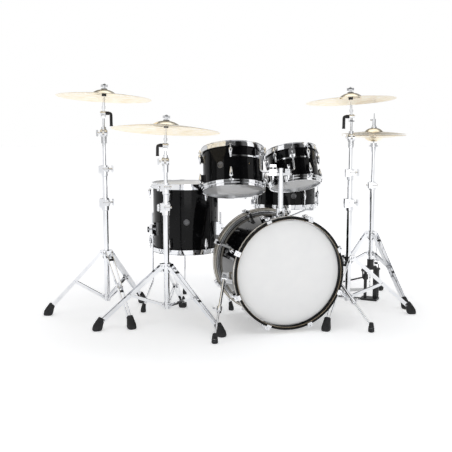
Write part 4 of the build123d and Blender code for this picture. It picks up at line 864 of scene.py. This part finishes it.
# ---------------------------------------------------------------- tilter handles and cymbal seats
# A bent lever of black nylon tightens each tilter. Above it a black sleeve and cup carry the
# cymbal, and a chromed ratchet with cut teeth sets the boom's angle.

black_nylon = finish("black_nylon", (0.012, 0.012, 0.013), 0.42, Specular_IOR_Level=0.35)
drive(black_nylon, "Base Color", grain(black_nylon, 0.01),
      [(0.3, (0.008, 0.008, 0.009)), (0.7, (0.020, 0.020, 0.021))])
drive(black_nylon, "Roughness", grain(black_nylon, 0.002), [(0.3, 0.32), (0.7, 0.55)])
rough_up(black_nylon, grain(black_nylon, 0.0012), 0.00004)
handle_sides = {"crash_left": 1, "ride": -1, "crash_right": -1}
handle_drops = {"crash_left": 0.062, "ride": 0.048, "crash_right": 0.058}
ratchet_heights = {"crash_left": 0.954, "ride": 0.818, "crash_right": 0.932}
ratchet_radius = 0.0215
teeth = 36
tooth_depth = 0.0011
for name in stand_names:
    at = Vector(joints[name + "_tilt"]["pos_m"])
    side = view_right * handle_sides[name]
    lever = bmesh.new()
    elbow = at + side * 0.036
    bend = [elbow - side * 0.008, elbow - side * 0.003 - upright * 0.0005,
            elbow + side * 0.001 - upright * 0.003, elbow + side * 0.0025 - upright * 0.008]
    swept(lever, [at + side * 0.0122] + bend[:1], 0.0092, 20)
    swept(lever, bend + [elbow + side * 0.003 - upright * handle_drops[name]], 0.0076, 16)
    tip = elbow + side * 0.003 - upright * (handle_drops[name] + 0.004)
    swept(lever, [tip + upright * 0.006, tip], 0.0084, 16)
    piece(lever, name + "_handle", black_nylon, name + "_upper", bevel=0.0006)
    cap = bmesh.new()
    swept(cap, [at - side * 0.0122, at - side * 0.0165], 0.0085, 6)
    ratchet = Vector((at.x, at.y, ratchet_heights[name]))
    for way in (-1, 1):
        hub = placed(ratchet + view_right * (way * 0.0152), view_right * way, upright)
        turned(cap, hub, [(0, 0), (0.0165, 0), (0.0150, 0.0035), (0.0085, 0.0045), (0, 0.0045)], 40)
    wheel = placed(ratchet, view_right, upright)
    rim = []
    for i in range(2 * teeth):
        out = ratchet_radius + tooth_depth * (i % 2)
        rim.append(wheel @ Vector((out * cos(pi * i / teeth), out * sin(pi * i / teeth), 0)))
    lofted(cap, [[corner + view_right * reach for corner in rim] for reach in (-0.0055, 0.0055)])
    piece(cap, name + "_ratchet_teeth", chrome, name + "_upper")
    place = cymbal_places[name]
    top = Vector(joints[name + "_rock"]["pos_m"])
    axis = place.col[2].xyz
    cymbal = frame["nodes"][name + "_cymbal"].data
    above = max((corner.co - top).dot(axis) for corner in cymbal.vertices)
    below = above - 2 * felt_thick - cymbal_thick
    seat = placed(top, axis, viewer)
    cup = bmesh.new()
    turned(cup, seat, [
        (0.0126, below - 0.0050), (0.0136, below - 0.0042), (0.0139, below - 0.0022),
        (0.0128, below - 0.0020), (0.0070, below - 0.0021), (0.0066, below - 0.0240),
        (0.0108, below - 0.0240), (0.0116, below - 0.0225), (0.0122, below - 0.0070)], 40)
    turned(cup, seat, [
        (0.0066, above + 0.0165), (0.0088, above + 0.0165), (0.0096, above + 0.0190),
        (0.0088, above + 0.0205), (0.0066, above + 0.0205)], 32)
    piece(cup, name + "_cup", black_nylon, name + "_tilter")


# ---------------------------------------------------------------- badges
# Each drum but the bass carries a small round badge of stamped metal, held against the shell by
# the grommet at its middle. The badges are blank.

badge_metal = finish("badge_metal", (0.10, 0.10, 0.105), 0.3, Metallic=1.0)
drive(badge_metal, "Base Color", grain(badge_metal, 0.003),
      [(0.3, (0.06, 0.06, 0.065)), (0.7, (0.16, 0.16, 0.165))])
drive(badge_metal, "Roughness", grain(badge_metal, 0.001), [(0.3, 0.22), (0.7, 0.4)])
rough_up(badge_metal, grain(badge_metal, 0.0008), 0.00004)
# Each badge's turn round the drum in degrees, and its height from the shell's middle.
badge_turns = {"tom12": -24.0, "tom10": 58.0, "floor_tom": 4.0, "snare": 12.0}
badge_heights = {"tom12": -0.006, "tom10": 0.0, "floor_tom": -0.012, "snare": 0.0}
for name, turn_by in badge_turns.items():
    drum = drums[name]
    spin = radians(turn_by)
    x = drum.place.col[0].xyz
    y = drum.place.col[1].xyz
    out = x * cos(spin) + y * sin(spin)
    face = drum.middle + drum.axis * badge_heights[name] + out * drum.radius
    seat = placed(face, out, drum.axis)
    badge = bmesh.new()
    turned(badge, seat, [
        (0, -0.0014), (0.0165, -0.0014), (0.0172, -0.0002), (0.0165, 0.0008), (0.0148, 0.0011),
        (0.0140, 0.0005), (0.0065, 0.0006), (0.0060, 0.0018), (0.0038, 0.0018),
        (0.0034, 0.0004), (0, 0.0004)], 48)
    piece(badge, name + "_badge", badge_metal, drum.body)


# ---------------------------------------------------------------- spur boots and clamps
# A moulded rubber boot with two grip ribs covers the end of each spur. Further up, a chromed
# clamp with a wing screw holds the spur's inner rod.

boot_radius = 0.015
clamp_share = 0.56
for way, name in ((-1, "left"), (1, "right")):
    boots = bmesh.new()
    spur_low, spur_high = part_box("spur_" + name)
    foot_x = spur_high.x - boot_radius if way > 0 else spur_low.x + boot_radius
    foot = Vector((foot_x, spur_low.y + boot_radius, 0))
    pin = Vector(joints[f"spur_{name}_fold"]["pos_m"])
    turned(boots, placed(foot, upright), [
        (0, 0), (0.0124, 0), (0.0153, 0.004), (0.0154, 0.010), (0.0146, 0.012), (0.0150, 0.014),
        (0.0148, 0.020), (0.0140, 0.022), (0.0133, 0.030), (0.0122, 0.032), (0.0120, 0.036),
        (0.0096, 0.0464), (0, 0.0464)], 32)
    piece(boots, f"spur_{name}_boot", rubber, "spur_" + name)
    along = (foot + upright * 0.03 - pin).normalized()
    reach = (foot + upright * 0.03 - pin).length
    at = pin + along * (reach * clamp_share - 0.006)
    clamp = bmesh.new()
    collar = placed(at, along, viewer)
    turned(clamp, collar, [
        (0.0118, -0.014), (0.0132, -0.013), (0.0137, 0.0), (0.0132, 0.013), (0.0118, 0.014)], 32)
    out = Vector((way, 0, 0))
    out = (out - along * out.dot(along)).normalized()
    wing(clamp, at + out * 0.010, out, 0.026)
    piece(clamp, f"spur_{name}_clamp", chrome, "spur_" + name, bevel=0.0004)


# ---------------------------------------------------------------- kick pedal spring and strap
# A coil spring of steel wire brings the beater back. A flat nylon strap lies round the beater's
# cam and runs down to the toe of the footboard, which pulls the beater through it.


def coil(form, start, end, radius, wire, turns, steps=10):
    """A spring of round wire from start to end."""
    place = placed(start, end - start, Vector((0.2, 0.9, 0.1)))
    length = (end - start).length
    points = []
    for i in range(turns * steps + 1):
        angle = 2 * pi * i / steps
        points.append(place @ Vector((radius * cos(angle), radius * sin(angle),
                                      length * i / (turns * steps))))
    swept(form, points, wire, 4)


def band(form, points):
    """A flat band along points, with its width along X."""
    rings = []
    for i, point in enumerate(points):
        along = points[min(i + 1, len(points) - 1)] - points[max(i - 1, 0)]
        place = placed(point, along, Vector((1, 0, 0)))
        rings.append(rounded(place, strap_half_width, strap_half_thick, 12, 6.0))
    lofted(form, rings)


axle = Vector(joints["kick_beat"]["pos_m"])
spring = bmesh.new()
coil(spring, axle + Vector((0.062, 0.012, -0.180)), axle + Vector((0.062, 0.012, -0.020)),
     0.0065, 0.0011, 20)
piece(spring, "kick_spring", steel_wire, "kit")

strap_half_width = 0.0035
strap_half_thick = 0.0011
cam = axle + Vector((0.016, 0, 0))
cam_radius = 0.0246
board_low, board_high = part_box("kick_footboard")
lead = [cam + Vector((0, cam_radius * sin(radians(turn)), cam_radius * cos(radians(turn))))
        for turn in range(-30, 100, 10)]
foot_end = Vector((cam.x, board_low.y + 0.006, board_high.z + 0.002))
drop = [lead[-1] + (foot_end - lead[-1]) * (i / 12) for i in range(13)]
strap = bmesh.new()
band(strap, lead)
piece(strap, "kick_strap_on_cam", black_nylon, "kick_beater")
strap = bmesh.new()
band(strap, drop)
made = piece(strap, "kick_strap", black_nylon, "kit")
made.parent = None
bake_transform(made)


# ---------------------------------------------------------------- hi-hat chain
# Seven links of chromed wire, each turned a quarter from the last, join the footboard to the
# lower end of the pull rod.

hat_column = columns_at["hihat"]
links = 7
link_radius = 0.0036
board_low, board_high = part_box("hihat_footboard")
rod_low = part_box("hihat_rod")[0].z
low_end = Vector((hat_column.x, hat_column.y, board_high.z - 0.002))
pull = bmesh.new()
for i in range(links):
    height = low_end.z + 0.004 + (rod_low - low_end.z) * (i + 0.5) / links
    link = Vector((hat_column.x, hat_column.y, height))
    facing = view_right if i % 2 else view_level
    half_long = (rod_low - low_end.z) / links * 0.72
    ring = [link + facing * (link_radius * cos(2 * pi * k / 16))
            + upright * (half_long * sin(2 * pi * k / 16)) for k in range(16)]
    looped(pull, ring, 0.0013, 8)
piece(pull, "hihat_chain", chrome, "hihat_rod")


# ---------------------------------------------------------------- snare coils
# Twenty coils of fine steel wire, soldered to a plate at each end and drawn tight under the
# snare's lower head.

snare = drums["snare"]
wire_corners = [corner.co for corner in frame["nodes"]["snare_wires"].data.vertices]
centre = sum(wire_corners, Vector()) / len(wire_corners)
side = Vector(joints["snare_lever_release"]["pos_m"]) - snare.middle
run = (side - snare.axis * side.dot(snare.axis)).normalized()
across = snare.axis.cross(run)
half = max((corner - centre).dot(across) for corner in wire_corners)
lowest = min((corner - centre).dot(snare.axis) for corner in wire_corners)
wire_count = 20
wire_half_run = 0.135
wires = bmesh.new()
for number in range(wire_count):
    middle = (wire_count - 1) / 2
    offset = across * ((number - middle) / middle * (half - 0.0018))
    level = snare.axis * (lowest - 0.0001)
    start = centre + offset + level - run * wire_half_run
    coil(wires, start, start + run * (2 * wire_half_run), 0.0008, 0.00022, 90, 6)
piece(wires, "snare_coils", steel_wire, "snare_drum")
